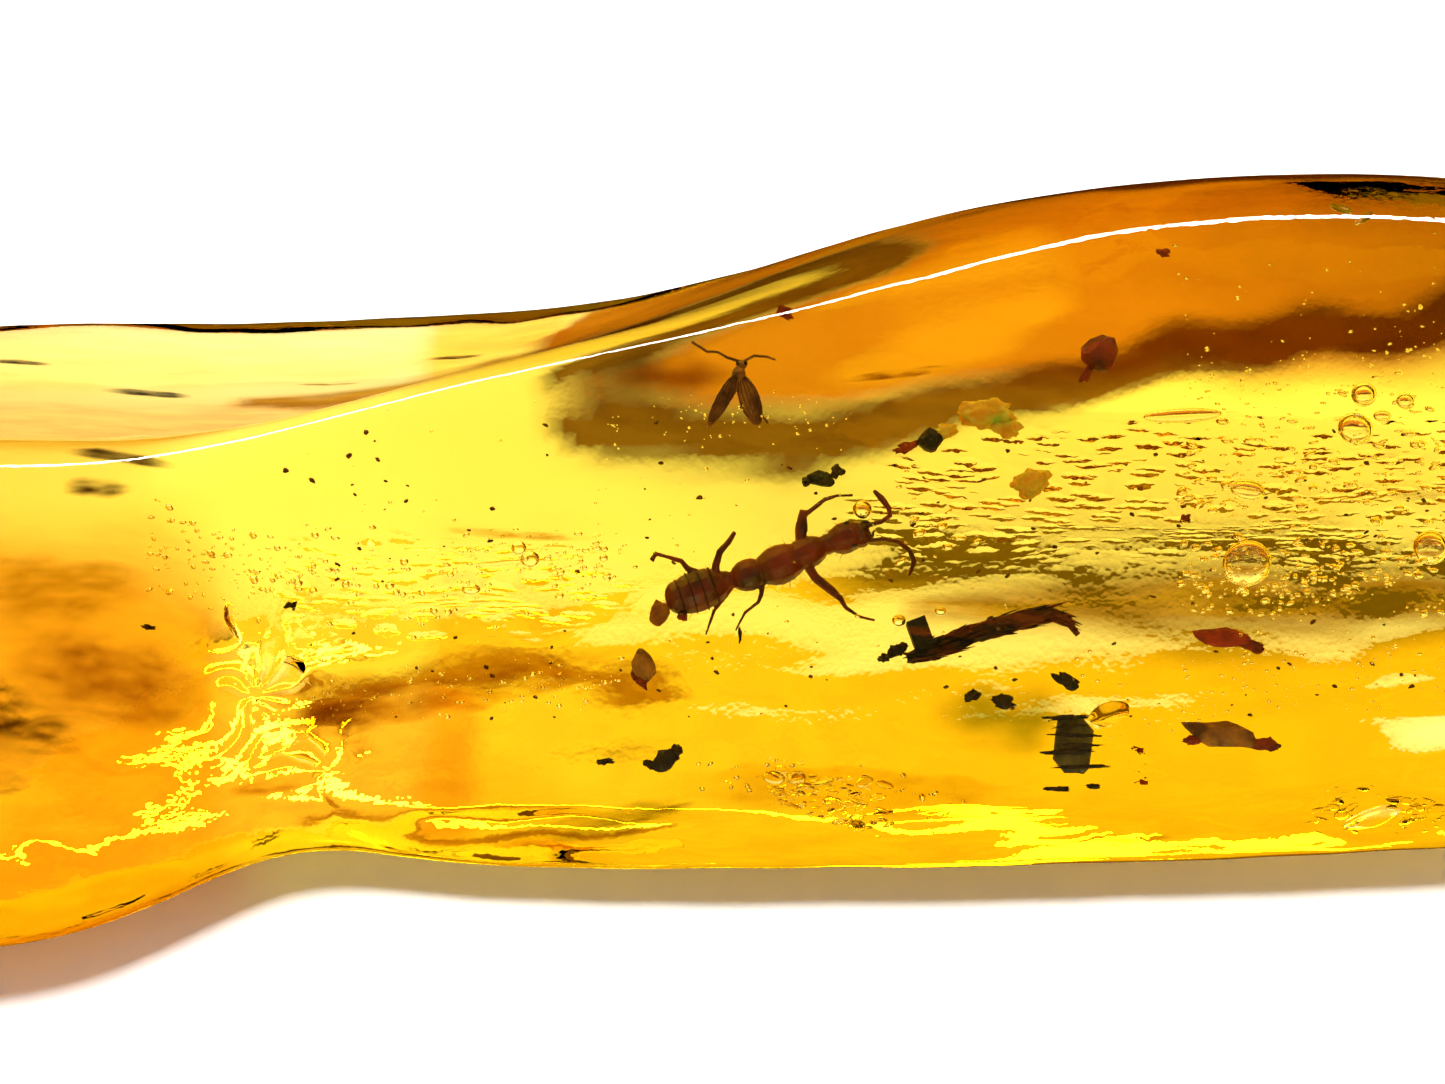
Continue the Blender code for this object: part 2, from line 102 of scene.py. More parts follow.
class Nodes:
    """A short way to add and join the nodes of one node tree."""

    def __init__(self, tree: bpy.types.NodeTree) -> None:
        """Keeps the tree that is built.

        Args:
            tree: The material's, world's or group's node tree.
        """
        self.tree = tree

    def add(self, kind: str, label: str = "", **settings: object) -> bpy.types.Node:
        """Adds a node.

        Args:
            kind: The node's class name after "ShaderNode", or its whole class name for a group's own nodes.
            label: What the node is for.
            settings: Properties of the node to set.

        Returns:
            The new node.
        """
        name = kind if kind.startswith("Node") else "ShaderNode" + kind
        node = self.tree.nodes.new(name)
        node.label = label
        for key, value in settings.items():
            setattr(node, key, value)
        return node

    def join(self, source: bpy.types.NodeSocket, target: bpy.types.NodeSocket) -> None:
        """Links an output socket to an input socket."""
        self.tree.links.new(source, target)

    def noise(self, vector: bpy.types.NodeSocket, scale: float, detail: float = 3.0) -> bpy.types.Node:
        """Adds a noise texture that reads the given coordinates.

        Args:
            vector: The coordinates.
            scale: How many waves fall on a metre.
            detail: How many finer layers it has.

        Returns:
            The texture's node.
        """
        node = self.add("TexNoise")
        node.inputs["Scale"].default_value = scale
        node.inputs["Detail"].default_value = detail
        self.join(vector, node.inputs["Vector"])
        return node

    def spread(
        self, value: bpy.types.NodeSocket, low: float, high: float, out_low: float = 0.0,
        out_high: float = 1.0
    ) -> bpy.types.NodeSocket:
        """Maps a value's range onto another, clamped at both ends.

        Args:
            value: The socket to read.
            low: The value that becomes out_low.
            high: The value that becomes out_high.
            out_low: The lower end of the result.
            out_high: The upper end of the result.

        Returns:
            The socket that holds the result.
        """
        node = self.add("MapRange")
        self.join(value, node.inputs["Value"])
        for key, number in zip(("From Min", "From Max", "To Min", "To Max"),
                               (low, high, out_low, out_high)):
            node.inputs[key].default_value = number
        return node.outputs["Result"]

    def maths(
        self, operation: str, first: bpy.types.NodeSocket, second: bpy.types.NodeSocket | float
    ) -> bpy.types.NodeSocket:
        """Joins two values, or a value and a number, by a Math node.

        Args:
            operation: What the node does.
            first: The first value.
            second: The second value, or a number.

        Returns:
            The socket that holds the result.
        """
        node = self.add("Math", operation=operation)
        self.join(first, node.inputs[0])
        if isinstance(second, (int, float)):
            node.inputs[1].default_value = second
        else:
            self.join(second, node.inputs[1])
        return node.outputs[0]

    def blend(
        self, share: bpy.types.NodeSocket, first: Colour | bpy.types.NodeSocket, second: Colour
    ) -> bpy.types.NodeSocket:
        """Mixes a colour with a second one by a share that varies over the surface.

        Args:
            share: How much of the second colour there is.
            first: The first colour, or the socket that holds it.
            second: The second colour.

        Returns:
            The socket that holds the mixed colour.
        """
        node = self.add("Mix", data_type="RGBA")
        self.join(share, node.inputs["Factor"])
        if isinstance(first, tuple):
            node.inputs[6].default_value = (*first, 1.0)
        else:
            self.join(first, node.inputs[6])
        node.inputs[7].default_value = (*second, 1.0)
        return node.outputs[2]


class SharedEffects:
    """The shader node groups that more than one finish uses, each built once."""

    _made: dict[str, bpy.types.NodeTree] = {}

    @classmethod
    def mottle(cls) -> bpy.types.NodeTree:
        """Two tones that drift into each other, with the height of a fine rough skin.

        Returns:
            A group with inputs Vector, Light, Dark, Scale and Contrast, and outputs Color, Mask and Height.
        """
        if "mottle" in cls._made:
            return cls._made["mottle"]
        tree = bpy.data.node_groups.new("mottle", "ShaderNodeTree")
        for name, kind in (
            ("Vector", "NodeSocketVector"),
            ("Light", "NodeSocketColor"),
            ("Dark", "NodeSocketColor"),
            ("Scale", "NodeSocketFloat"),
            ("Contrast", "NodeSocketFloat"),
        ):
            tree.interface.new_socket(name=name, in_out="INPUT", socket_type=kind)
        for name, kind in (("Color", "NodeSocketColor"), ("Mask", "NodeSocketFloat"),
                           ("Height", "NodeSocketFloat")):
            tree.interface.new_socket(name=name, in_out="OUTPUT", socket_type=kind)
        nodes = Nodes(tree)
        given = nodes.add("NodeGroupInput")
        result = nodes.add("NodeGroupOutput")
        broad = nodes.add("TexNoise", "broad drift")
        broad.inputs["Detail"].default_value = 4.0
        nodes.join(given.outputs["Vector"], broad.inputs["Vector"])
        nodes.join(given.outputs["Scale"], broad.inputs["Scale"])
        centred = nodes.maths("SUBTRACT", broad.outputs["Fac"], 0.5)
        scaled = nodes.maths("MULTIPLY", centred, given.outputs["Contrast"])
        mask = nodes.maths("ADD", scaled, 0.5)
        held = nodes.add("Clamp")
        nodes.join(mask, held.inputs["Value"])
        mix = nodes.add("Mix", data_type="RGBA")
        nodes.join(held.outputs["Result"], mix.inputs["Factor"])
        nodes.join(given.outputs["Dark"], mix.inputs[6])
        nodes.join(given.outputs["Light"], mix.inputs[7])
        fine_scale = nodes.maths("MULTIPLY", given.outputs["Scale"], 6.0)
        fine = nodes.add("TexNoise", "fine skin")
        fine.inputs["Detail"].default_value = 5.0
        nodes.join(given.outputs["Vector"], fine.inputs["Vector"])
        nodes.join(fine_scale, fine.inputs["Scale"])
        height = nodes.maths("ADD", fine.outputs["Fac"], held.outputs["Result"])
        nodes.join(mix.outputs[2], result.inputs["Color"])
        nodes.join(held.outputs["Result"], result.inputs["Mask"])
        nodes.join(height, result.inputs["Height"])
        cls._made["mottle"] = tree
        return tree

    @classmethod
    def streaked_stain_and_light(cls) -> bpy.types.NodeTree:
        """The stain marks, painted shade and painted light on a mesh, broken up by fine streaks that run
        along the nugget.

        Returns:
            A group with input Vector, which is drawn out along the nugget, and output Color.
        """
        if "streaked_stain_and_light" in cls._made:
            return cls._made["streaked_stain_and_light"]
        tree = bpy.data.node_groups.new("streaked_stain_and_light", "ShaderNodeTree")
        tree.interface.new_socket(name="Vector", in_out="INPUT", socket_type="NodeSocketVector")
        tree.interface.new_socket(name="Color", in_out="OUTPUT", socket_type="NodeSocketColor")
        nodes = Nodes(tree)
        given = nodes.add("NodeGroupInput")
        result = nodes.add("NodeGroupOutput")
        painted = nodes.add("Attribute", "painted stain and light", attribute_name=STAIN_AND_LIGHT_LAYER)
        streaks = nodes.noise(given.outputs["Vector"], 2600.0, 2.0)
        streaked = nodes.add("Mix", "streaks in the stains", data_type="RGBA", blend_type="MULTIPLY")
        nodes.join(nodes.spread(painted.outputs["Alpha"], 0.0, 1.0, 0.0, 0.9), streaked.inputs["Factor"])
        nodes.join(painted.outputs["Color"], streaked.inputs[6])
        veins = nodes.spread(streaks.outputs["Fac"], 0.38, 0.62)
        nodes.join(nodes.blend(veins, (0.35, 0.24, 0.10), (1.0, 1.0, 1.0)), streaked.inputs[7])
        nodes.join(streaked.outputs[2], result.inputs["Color"])
        cls._made["streaked_stain_and_light"] = tree
        return tree


@dataclass(frozen=True)
class OpaqueFinish:
    """The skin of a sealed thing: two drifting tones, a rough or glossy skin and its bump.

    Attributes:
        name: The material's name.
        light: The lighter tone.
        dark: The darker tone.
        scale: How many patches fall on a metre.
        contrast: How hard the two tones part.
        roughness: The roughness of the dark and of the light patches.
        bump: The bump's depth in metres.
        grain: Whether the pattern is drawn out along the nugget.
        subsurface: How much light passes under the skin.
        coat: The weight of a thin gloss coat.
    """

    name: str
    light: Colour
    dark: Colour
    scale: float = 2500.0
    contrast: float = 3.0
    roughness: tuple[float, float] = (0.55, 0.75)
    bump: float = 0.00003
    grain: Grain = Grain.EVEN
    subsurface: float = 0.0
    coat: float = 0.0

    def build(self) -> bpy.types.Material:
        """Makes the material.

        Returns:
            The finished material.
        """
        material = bpy.data.materials.new(self.name)
        material.use_nodes = True
        nodes = Nodes(material.node_tree)
        shader = material.node_tree.nodes["Principled BSDF"]
        coordinates = nodes.add("TexCoord")
        mapping = nodes.add("Mapping", "grain")
        mapping.inputs["Scale"].default_value = self.grain.value
        nodes.join(coordinates.outputs["Object"], mapping.inputs["Vector"])
        group = nodes.add("Group", "mottle", node_tree=SharedEffects.mottle())
        nodes.join(mapping.outputs["Vector"], group.inputs["Vector"])
        group.inputs["Light"].default_value = (*self.light, 1.0)
        group.inputs["Dark"].default_value = (*self.dark, 1.0)
        group.inputs["Scale"].default_value = self.scale
        group.inputs["Contrast"].default_value = self.contrast
        nodes.join(group.outputs["Color"], shader.inputs["Base Color"])
        roughness = nodes.spread(group.outputs["Mask"], 0.0, 1.0, *self.roughness)
        nodes.join(roughness, shader.inputs["Roughness"])
        bump = nodes.add("Bump")
        bump.inputs["Distance"].default_value = self.bump
        nodes.join(group.outputs["Height"], bump.inputs["Height"])
        nodes.join(bump.outputs["Normal"], shader.inputs["Normal"])
        shader.inputs["Subsurface Weight"].default_value = self.subsurface
        shader.inputs["Subsurface Radius"].default_value = (1.0, 0.25, 0.08)
        shader.inputs["Subsurface Scale"].default_value = 0.0002
        shader.inputs["Coat Weight"].default_value = self.coat
        shader.inputs["Coat Roughness"].default_value = 0.12
        return material


@dataclass(frozen=True)
class CopalFinish:
    """Clear polished copal: plain glass with its absorption, and faint ripples and scratches as bump.

    Attributes:
        ior: The refractive index of copal.
        absorbed: What one metre takes of red, green and blue.
        ripple_depth: The depth of the long polishing waves, in metres.
        scratch_depth: The depth of fine scratches, in metres.
        pit_depth: The depth of the pitted stretches' marks, in metres.
        ripple_scale: How many polishing waves fall on a metre.
        scratch_scale: How many scratches fall on a metre.
        pit_scale: How many casting marks fall on a metre.
        smear_scale: How many dull smears fall on a metre.
    """

    ior: float = 1.54
    absorbed: Colour = (14.0, 45.0, 300.0)
    ripple_depth: float = 0.00003
    scratch_depth: float = 0.0000015
    pit_depth: float = 0.000014
    ripple_scale: float = 420.0
    scratch_scale: float = 5200.0
    pit_scale: float = 6500.0
    smear_scale: float = 900.0

    def build(self) -> bpy.types.Material:
        """Makes the material.

        Returns:
            The finished material.
        """
        material = bpy.data.materials.new("copal")
        material.use_nodes = True
        nodes = Nodes(material.node_tree)
        shader = material.node_tree.nodes["Principled BSDF"]
        shader.inputs["Transmission Weight"].default_value = 1.0
        shader.inputs["IOR"].default_value = self.ior
        density = max(self.absorbed)
        absorption = nodes.add("VolumeAbsorption", "body colour")
        absorption.inputs["Color"].default_value = (*(1.0 - share / density for share in self.absorbed),
                                                    1.0)
        absorption.inputs["Density"].default_value = density
        nodes.join(absorption.outputs["Volume"],
                   material.node_tree.nodes["Material Output"].inputs["Volume"])
        coordinates = nodes.add("TexCoord")
        drawn_out = nodes.add("Mapping", "drawn out along the nugget")
        drawn_out.inputs["Scale"].default_value = Grain.ALONG.value
        nodes.join(coordinates.outputs["Object"], drawn_out.inputs["Vector"])
        waves = nodes.noise(drawn_out.outputs["Vector"], self.ripple_scale, 2.0)
        # The base colour tints the light through the skin by its stain marks, painted shade and painted
        # light.
        stained = nodes.add("Group", "stains on the skin", node_tree=SharedEffects.streaked_stain_and_light())
        nodes.join(drawn_out.outputs["Vector"], stained.inputs["Vector"])
        nodes.join(stained.outputs["Color"], shader.inputs["Base Color"])
        smears = nodes.noise(coordinates.outputs["Object"], self.smear_scale, 1.0)
        nodes.join(nodes.spread(smears.outputs["Fac"], 0.62, 0.8, 0.0, 0.02), shader.inputs["Roughness"])
        ripple = nodes.add("Bump", "polishing waves")
        ripple.inputs["Distance"].default_value = self.ripple_depth
        nodes.join(waves.outputs["Fac"], ripple.inputs["Height"])
        scratches = nodes.noise(coordinates.outputs["Object"], self.scratch_scale, 1.0)
        scratch = nodes.add("Bump", "fine scratches")
        scratch.inputs["Distance"].default_value = self.scratch_depth
        nodes.join(scratches.outputs["Fac"], scratch.inputs["Height"])
        nodes.join(ripple.outputs["Normal"], scratch.inputs["Normal"])
        pitted = nodes.add("Attribute", "where it is pitted", attribute_name=PIT_LAYER)
        cells = nodes.add("TexVoronoi", "casting marks", feature="F1")
        cells.inputs["Scale"].default_value = self.pit_scale
        nodes.join(drawn_out.outputs["Vector"], cells.inputs["Vector"])
        marks = nodes.maths("MULTIPLY", nodes.spread(cells.outputs["Distance"], 0.1, 0.5),
                            pitted.outputs["Fac"])
        pits = nodes.add("Bump", "pits")
        pits.inputs["Distance"].default_value = self.pit_depth
        nodes.join(marks, pits.inputs["Height"])
        nodes.join(scratch.outputs["Normal"], pits.inputs["Normal"])
        nodes.join(pits.outputs["Normal"], shader.inputs["Normal"])
        return material


@dataclass(frozen=True)
class SeamFinish:
    """The finish of the stained seams and of the dark sheets of painted reflection inside the stone: it only
    tints the light that passes, and bends none.
    """

    def build(self) -> bpy.types.Material:
        """Makes the material.

        Returns:
            The finished material.
        """
        material = bpy.data.materials.new("seam_and_painted_reflection")
        material.use_nodes = True
        nodes = Nodes(material.node_tree)
        shader = material.node_tree.nodes["Principled BSDF"]
        shader.inputs["Transmission Weight"].default_value = 1.0
        shader.inputs["IOR"].default_value = 1.0
        shader.inputs["Roughness"].default_value = 0.0
        coordinates = nodes.add("TexCoord")
        drawn_out = nodes.add("Mapping", "drawn out along the nugget")
        drawn_out.inputs["Scale"].default_value = Grain.ALONG.value
        nodes.join(coordinates.outputs["Object"], drawn_out.inputs["Vector"])
        stained = nodes.add("Group", "stains in the seam", node_tree=SharedEffects.streaked_stain_and_light())
        nodes.join(drawn_out.outputs["Vector"], stained.inputs["Vector"])
        nodes.join(stained.outputs["Color"], shader.inputs["Base Color"])
        return material


class Side(Enum):
    """The side of the nugget that a stain lies on, as the direction that it faces."""

    UNDER = (0.0, 0.0, -1.0)
    UPPER = (0.0, 0.0, 1.0)
    BACK = (0.0, 1.0, 0.0)
    FRONT = (0.0, -1.0, 0.0)


@dataclass(frozen=True)
class StainAndPaintedLight:
    """A soft tinted patch on the stone's skin, seen through the stone as a darker or brighter band: some are
    the resin's own stain marks, and some are painted shade and painted light that stand for shade and bright
    streaks on the floor seen through the stone.
        line: Its course as (x, y, half width) points, in order of x, with z for y on the back and front.
        colour: What it lets through.
        edge: How far its edges fade, as a share of its half width.
        streaks: How strongly it is streaked, from 0 to 1.
        wander: How far its edges wander.
    """

    side: Side
    line: tuple[Place, ...]
    colour: Colour
    edge: float = 0.5
    streaks: float = 0.6
    wander: float = 0.25

    def weight(self, place: Vector, normal: Vector) -> float:
        """Tells how strong the stain is at a point of the skin.

        Args:
            place: The point, in millimetres.
            normal: The skin's direction there.

        Returns:
            A share from 0 to 1.
        """
        facing = normal.dot(Vector(self.side.value))
        across_at = place.z if self.side in (Side.BACK, Side.FRONT) else place.y
        if facing < 0.05 or not self.line[0][0] <= place.x <= self.line[-1][0]:
            return 0.0
        i = max(j for j in range(len(self.line) - 1) if self.line[j][0] <= place.x)
        start, end = self.line[i], self.line[i + 1]
        share = (place.x - start[0]) / (end[0] - start[0])
        middle = start[1] + (end[1] - start[1]) * share
        half = start[2] + (end[2] - start[2]) * share
        if half <= 0:
            return 0.0
        drift = self.wander * noise.noise(Vector((place.x * 0.45, place.y * 0.9, 7.0)))
        off = abs(across_at - middle + drift) / half
        across = 1.0 - smooth_step(1.0 - self.edge, 1.0, off)
        ends = min(place.x - self.line[0][0], self.line[-1][0] - place.x)
        return across * smooth_step(0.0, 0.8, ends) * smooth_step(0.05, 0.3, facing)


@dataclass(frozen=True)
class FloorFinish:
    """A pale matt floor, with a glowing window of painted light under the nugget that stands for a light
    table.

    Attributes:
        light: The floor's tone.
        shade: A slightly darker tone that drifts over it.
        glow: How strongly the light table under the nugget shines.
        glow_middle: How far behind the origin the lit window's middle lies, in metres.
        glow_halves: Half the lit window's length and width, in metres.
    """

    light: Colour = (0.93, 0.93, 0.93)
    shade: Colour = (0.90, 0.90, 0.90)
    glow: float = 1.35
    glow_middle: float = 0.0030
    glow_halves: tuple[float, float] = (0.026, 0.0076)

    def build(self) -> bpy.types.Material:
        """Makes the material.

        Returns:
            The finished material.
        """
        material = bpy.data.materials.new("pale_floor")
        material.use_nodes = True
        nodes = Nodes(material.node_tree)
        shader = material.node_tree.nodes["Principled BSDF"]
        coordinates = nodes.add("TexCoord")
        drift = nodes.noise(coordinates.outputs["Object"], 6.0, 2.0)
        nodes.join(nodes.blend(drift.outputs["Fac"], self.light, self.shade), shader.inputs["Base Color"])
        shader.inputs["Roughness"].default_value = 1.0
        shader.inputs["Specular IOR Level"].default_value = 0.0
        window = nodes.add("Mapping", "lit window", vector_type="TEXTURE")
        window.inputs["Location"].default_value = (0.0, self.glow_middle, 0.0)
        window.inputs["Scale"].default_value = (*self.glow_halves, 1.0)
        nodes.join(coordinates.outputs["Object"], window.inputs["Vector"])
        flat = nodes.add("VectorMath", "without height", operation="MULTIPLY")
        flat.inputs[1].default_value = (1.0, 1.0, 0.0)
        nodes.join(window.outputs["Vector"], flat.inputs[0])
        reach = nodes.add("VectorMath", "from the window's middle", operation="LENGTH")
        nodes.join(flat.outputs["Vector"], reach.inputs[0])
        nodes.join(nodes.spread(reach.outputs["Value"], 0.75, 1.0, self.glow, 0.0),
                   shader.inputs["Emission Strength"])
        return material


def smooth_step(low: float, high: float, value: float) -> float:
    """Rises smoothly from 0 to 1 as the value runs from low to high."""
    share = min(1.0, max(0.0, (value - low) / (high - low)))
    return share * share * (3 - 2 * share)


def piece_from(bm: bmesh.types.BMesh, name: str, material: bpy.types.Material) -> bpy.types.Object:
    """Turns a bmesh in millimetres into a finished piece in metres that rides on the nugget's one body.

    Args:
        bm: The shape, which is used up.
        name: The piece's name.
        material: Its finish.

    Returns:
        The new object, at the origin, with its place in its mesh.
    """
    bmesh.ops.scale(bm, vec=(MM, MM, MM), verts=bm.verts)
    mesh = bpy.data.meshes.new(name)
    bm.to_mesh(mesh)
    bm.free()
    mesh.shade_smooth()
    mesh.materials.append(material)
    obj = bpy.data.objects.new(name, mesh)
    bpy.context.scene.collection.objects.link(obj)
    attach(obj, "root")
    return obj


def smoothed(bm: bmesh.types.BMesh, levels: int) -> bmesh.types.BMesh:
    """Applies a Subdivision Surface to a bmesh.

    Args:
        bm: The cage, which is used up.
        levels: The number of subdivisions.

    Returns:
        The smooth mesh.
    """
    mesh = bpy.data.meshes.new("cage")
    bm.to_mesh(mesh)
    bm.free()
    obj = bpy.data.objects.new("cage", mesh)
    bpy.context.scene.collection.objects.link(obj)
    modifier = obj.modifiers.new("smooth", "SUBSURF")
    modifier.levels = levels
    modifier.render_levels = levels
    bpy.context.view_layer.update()
    evaluated = obj.evaluated_get(bpy.context.evaluated_depsgraph_get())
    result = bmesh.new()
    result.from_mesh(evaluated.to_mesh())
    evaluated.to_mesh_clear()
    bpy.data.objects.remove(obj, do_unlink=True)
    bpy.data.meshes.remove(mesh)
    return result


def tube(
    bm: bmesh.types.BMesh, points: Sequence[Vector], radii: Sequence[float], sides: int
) -> list[bmesh.types.BMVert]:
    """Draws a closed round bar through points: one ring, extruded from point to point.

    Args:
        bm: The mesh to add it to.
        points: The points that it runs through.
        radii: Its radius at each point.
        sides: The number of its sides.

    Returns:
        The bar's vertices.
    """
    ring = bmesh.ops.create_circle(bm, cap_ends=True, segments=sides, radius=1.0)["verts"]
    shape = [vert.co.copy() for vert in ring]
    made = []
    for i, (point, radius) in enumerate(zip(points, radii)):
        if i:
            edges = dict.fromkeys(e for v in ring for e in v.link_edges if e.other_vert(v) in ring)
            grown = bmesh.ops.extrude_edge_only(bm, edges=list(edges))["geom"]
            new = {item for item in grown if isinstance(item, bmesh.types.BMVert)}
            ring = [next(e.other_vert(v) for e in v.link_edges if e.other_vert(v) in new) for v in ring]
        run = points[min(i + 1, len(points) - 1)] - points[max(i - 1, 0)]
        turn = run.to_track_quat("Z", "Y")
        for vert, corner in zip(ring, shape):
            vert.co = point + turn @ (corner * radius)
        made += ring
    bmesh.ops.contextual_create(bm, geom=ring)
    faces = dict.fromkeys(face for vert in made for face in vert.link_faces)
    bmesh.ops.recalc_face_normals(bm, faces=list(faces))
    return made


def on_plane(a: float, b: float, c: float = 0.0) -> Vector:
    """Gives the point that lies at (a, b, c) on the insects' plane."""
    return PLANE @ Vector((a, b, c))


def lump(
    bm: bmesh.types.BMesh, frame_at: Matrix, halves: Place, rough: float, fineness: int, seed: float
) -> list[bmesh.types.BMVert]:
    """Draws an uneven closed lump: a fine ball stretched to size, its skin pushed in and out.

    Args:
        bm: The mesh to add it to.
        frame_at: Where it lies and how it is turned.
        halves: Its half sizes.
        rough: How far its skin goes in and out, as a share of its size.
        fineness: How finely it is divided.
        seed: A number that makes it unlike the others.

    Returns:
        The lump's vertices.
    """
    ball = bmesh.ops.create_icosphere(bm, subdivisions=fineness, radius=1.0)["verts"]
    for vert in ball:
        wave = noise.noise(vert.co * 1.7 + Vector((seed, 0, 0)))
        wave += 0.5 * noise.noise(vert.co * 4.1 + Vector((0, seed, 0)))
        shape = vert.co * (1.0 + rough * wave)
        vert.co = frame_at @ Vector([size * half for size, half in zip(shape, halves)])
    return ball


@dataclass(frozen=True)
class Hollow:
    """A closed pocket of air in the stone: a bubble, or a crack where it is thin.

    Attributes:
        place: Its middle on the insects' plane, as (a, b, c).
        halves: Its half sizes along a, b and c before it is turned.
        turn: Its turns about a, b and c, in degrees.
        fineness: How finely its skin is divided.
        ribs: How many ribs fan out over a crack.
        relief: How far the ribs go up and down.
        dish: How far the crack's rim is bent up.
    """

    place: Place
    halves: Place
    turn: Place = (0.0, 0.0, 0.0)
    fineness: int = 2
    ribs: int = 0
    relief: float = 0.0
    dish: float = 0.0

    def carve(self, bm: bmesh.types.BMesh) -> None:
        """Adds the hollow's skin, which faces into the hollow, out of the resin.

        Args:
            bm: The stone's shell.
        """
        turn = Euler([math.radians(angle) for angle in self.turn]).to_matrix().to_4x4()
        placed = PLANE @ Matrix.Translation(self.place) @ turn
        ball = bmesh.ops.create_icosphere(bm, subdivisions=self.fineness, radius=1.0)["verts"]
        for vert in ball:
            p = vert.co.copy()
            lift = self.dish * (p.x * p.x + p.y * p.y)
            if self.ribs:
                fan = math.atan2(p.y, p.x + 1.25)
                lift += self.relief * math.sin(self.ribs * fan + 2.0 * p.x) * (1.0 - p.z * p.z)
            vert.co = placed @ Vector((p.x * self.halves[0], p.y * self.halves[1],
                                       p.z * self.halves[2] + lift))
        skin = {face for vert in ball for face in vert.link_faces}
        bmesh.ops.reverse_faces(bm, faces=list(skin))


@dataclass(frozen=True)
class Swarm:
    """Many small bubbles scattered over a stretch of the stone.

    Attributes:
        start: One end of the stretch, as (a, b, half width).
        end: The other end.
        count: How many bubbles are tried.
        sizes: The smallest and the largest half length.
        layer: The lowest and the highest c.
        stretch: The least and the most that a bubble is longer than it is wide.
        flatness: Its thickness as a share of its width.
        tilt: The most that a bubble is tilted, in degrees.
        fineness: How finely each is divided.
        lean: How far they all lean back towards the front, in degrees.
    """

    start: Place
    end: Place
    count: int
    sizes: tuple[float, float]
    layer: tuple[float, float] = (-0.3, 0.3)
    stretch: tuple[float, float] = (1.0, 1.6)
    flatness: float = 0.8
    tilt: float = 20.0
    fineness: int = 1
    lean: float = 0.0

    def scatter(self, chance: random.Random) -> list[Hollow]:
        """Picks the bubbles' places and sizes.

        Args:
            chance: The seeded source of chance.

        Returns:
            The bubbles.
        """
        found = []
        for _ in range(self.count):
            share = chance.random()
            a, b, half = (low + (high - low) * share for low, high in zip(self.start, self.end))
            size = self.sizes[0] + (self.sizes[1] - self.sizes[0]) * chance.random() ** 2.2
            width = size / chance.uniform(*self.stretch)
            rock, roll = chance.uniform(-self.tilt, self.tilt), chance.uniform(-self.tilt, self.tilt)
            turn = (rock - self.lean, roll, chance.gauss(4, 16))
            off = max(-1.0, min(1.0, chance.gauss(0, 0.5))) * half
            place = (a, b + off, chance.uniform(*self.layer))
            found.append(Hollow(place, (size, width, width * self.flatness), turn, self.fineness))
        return found


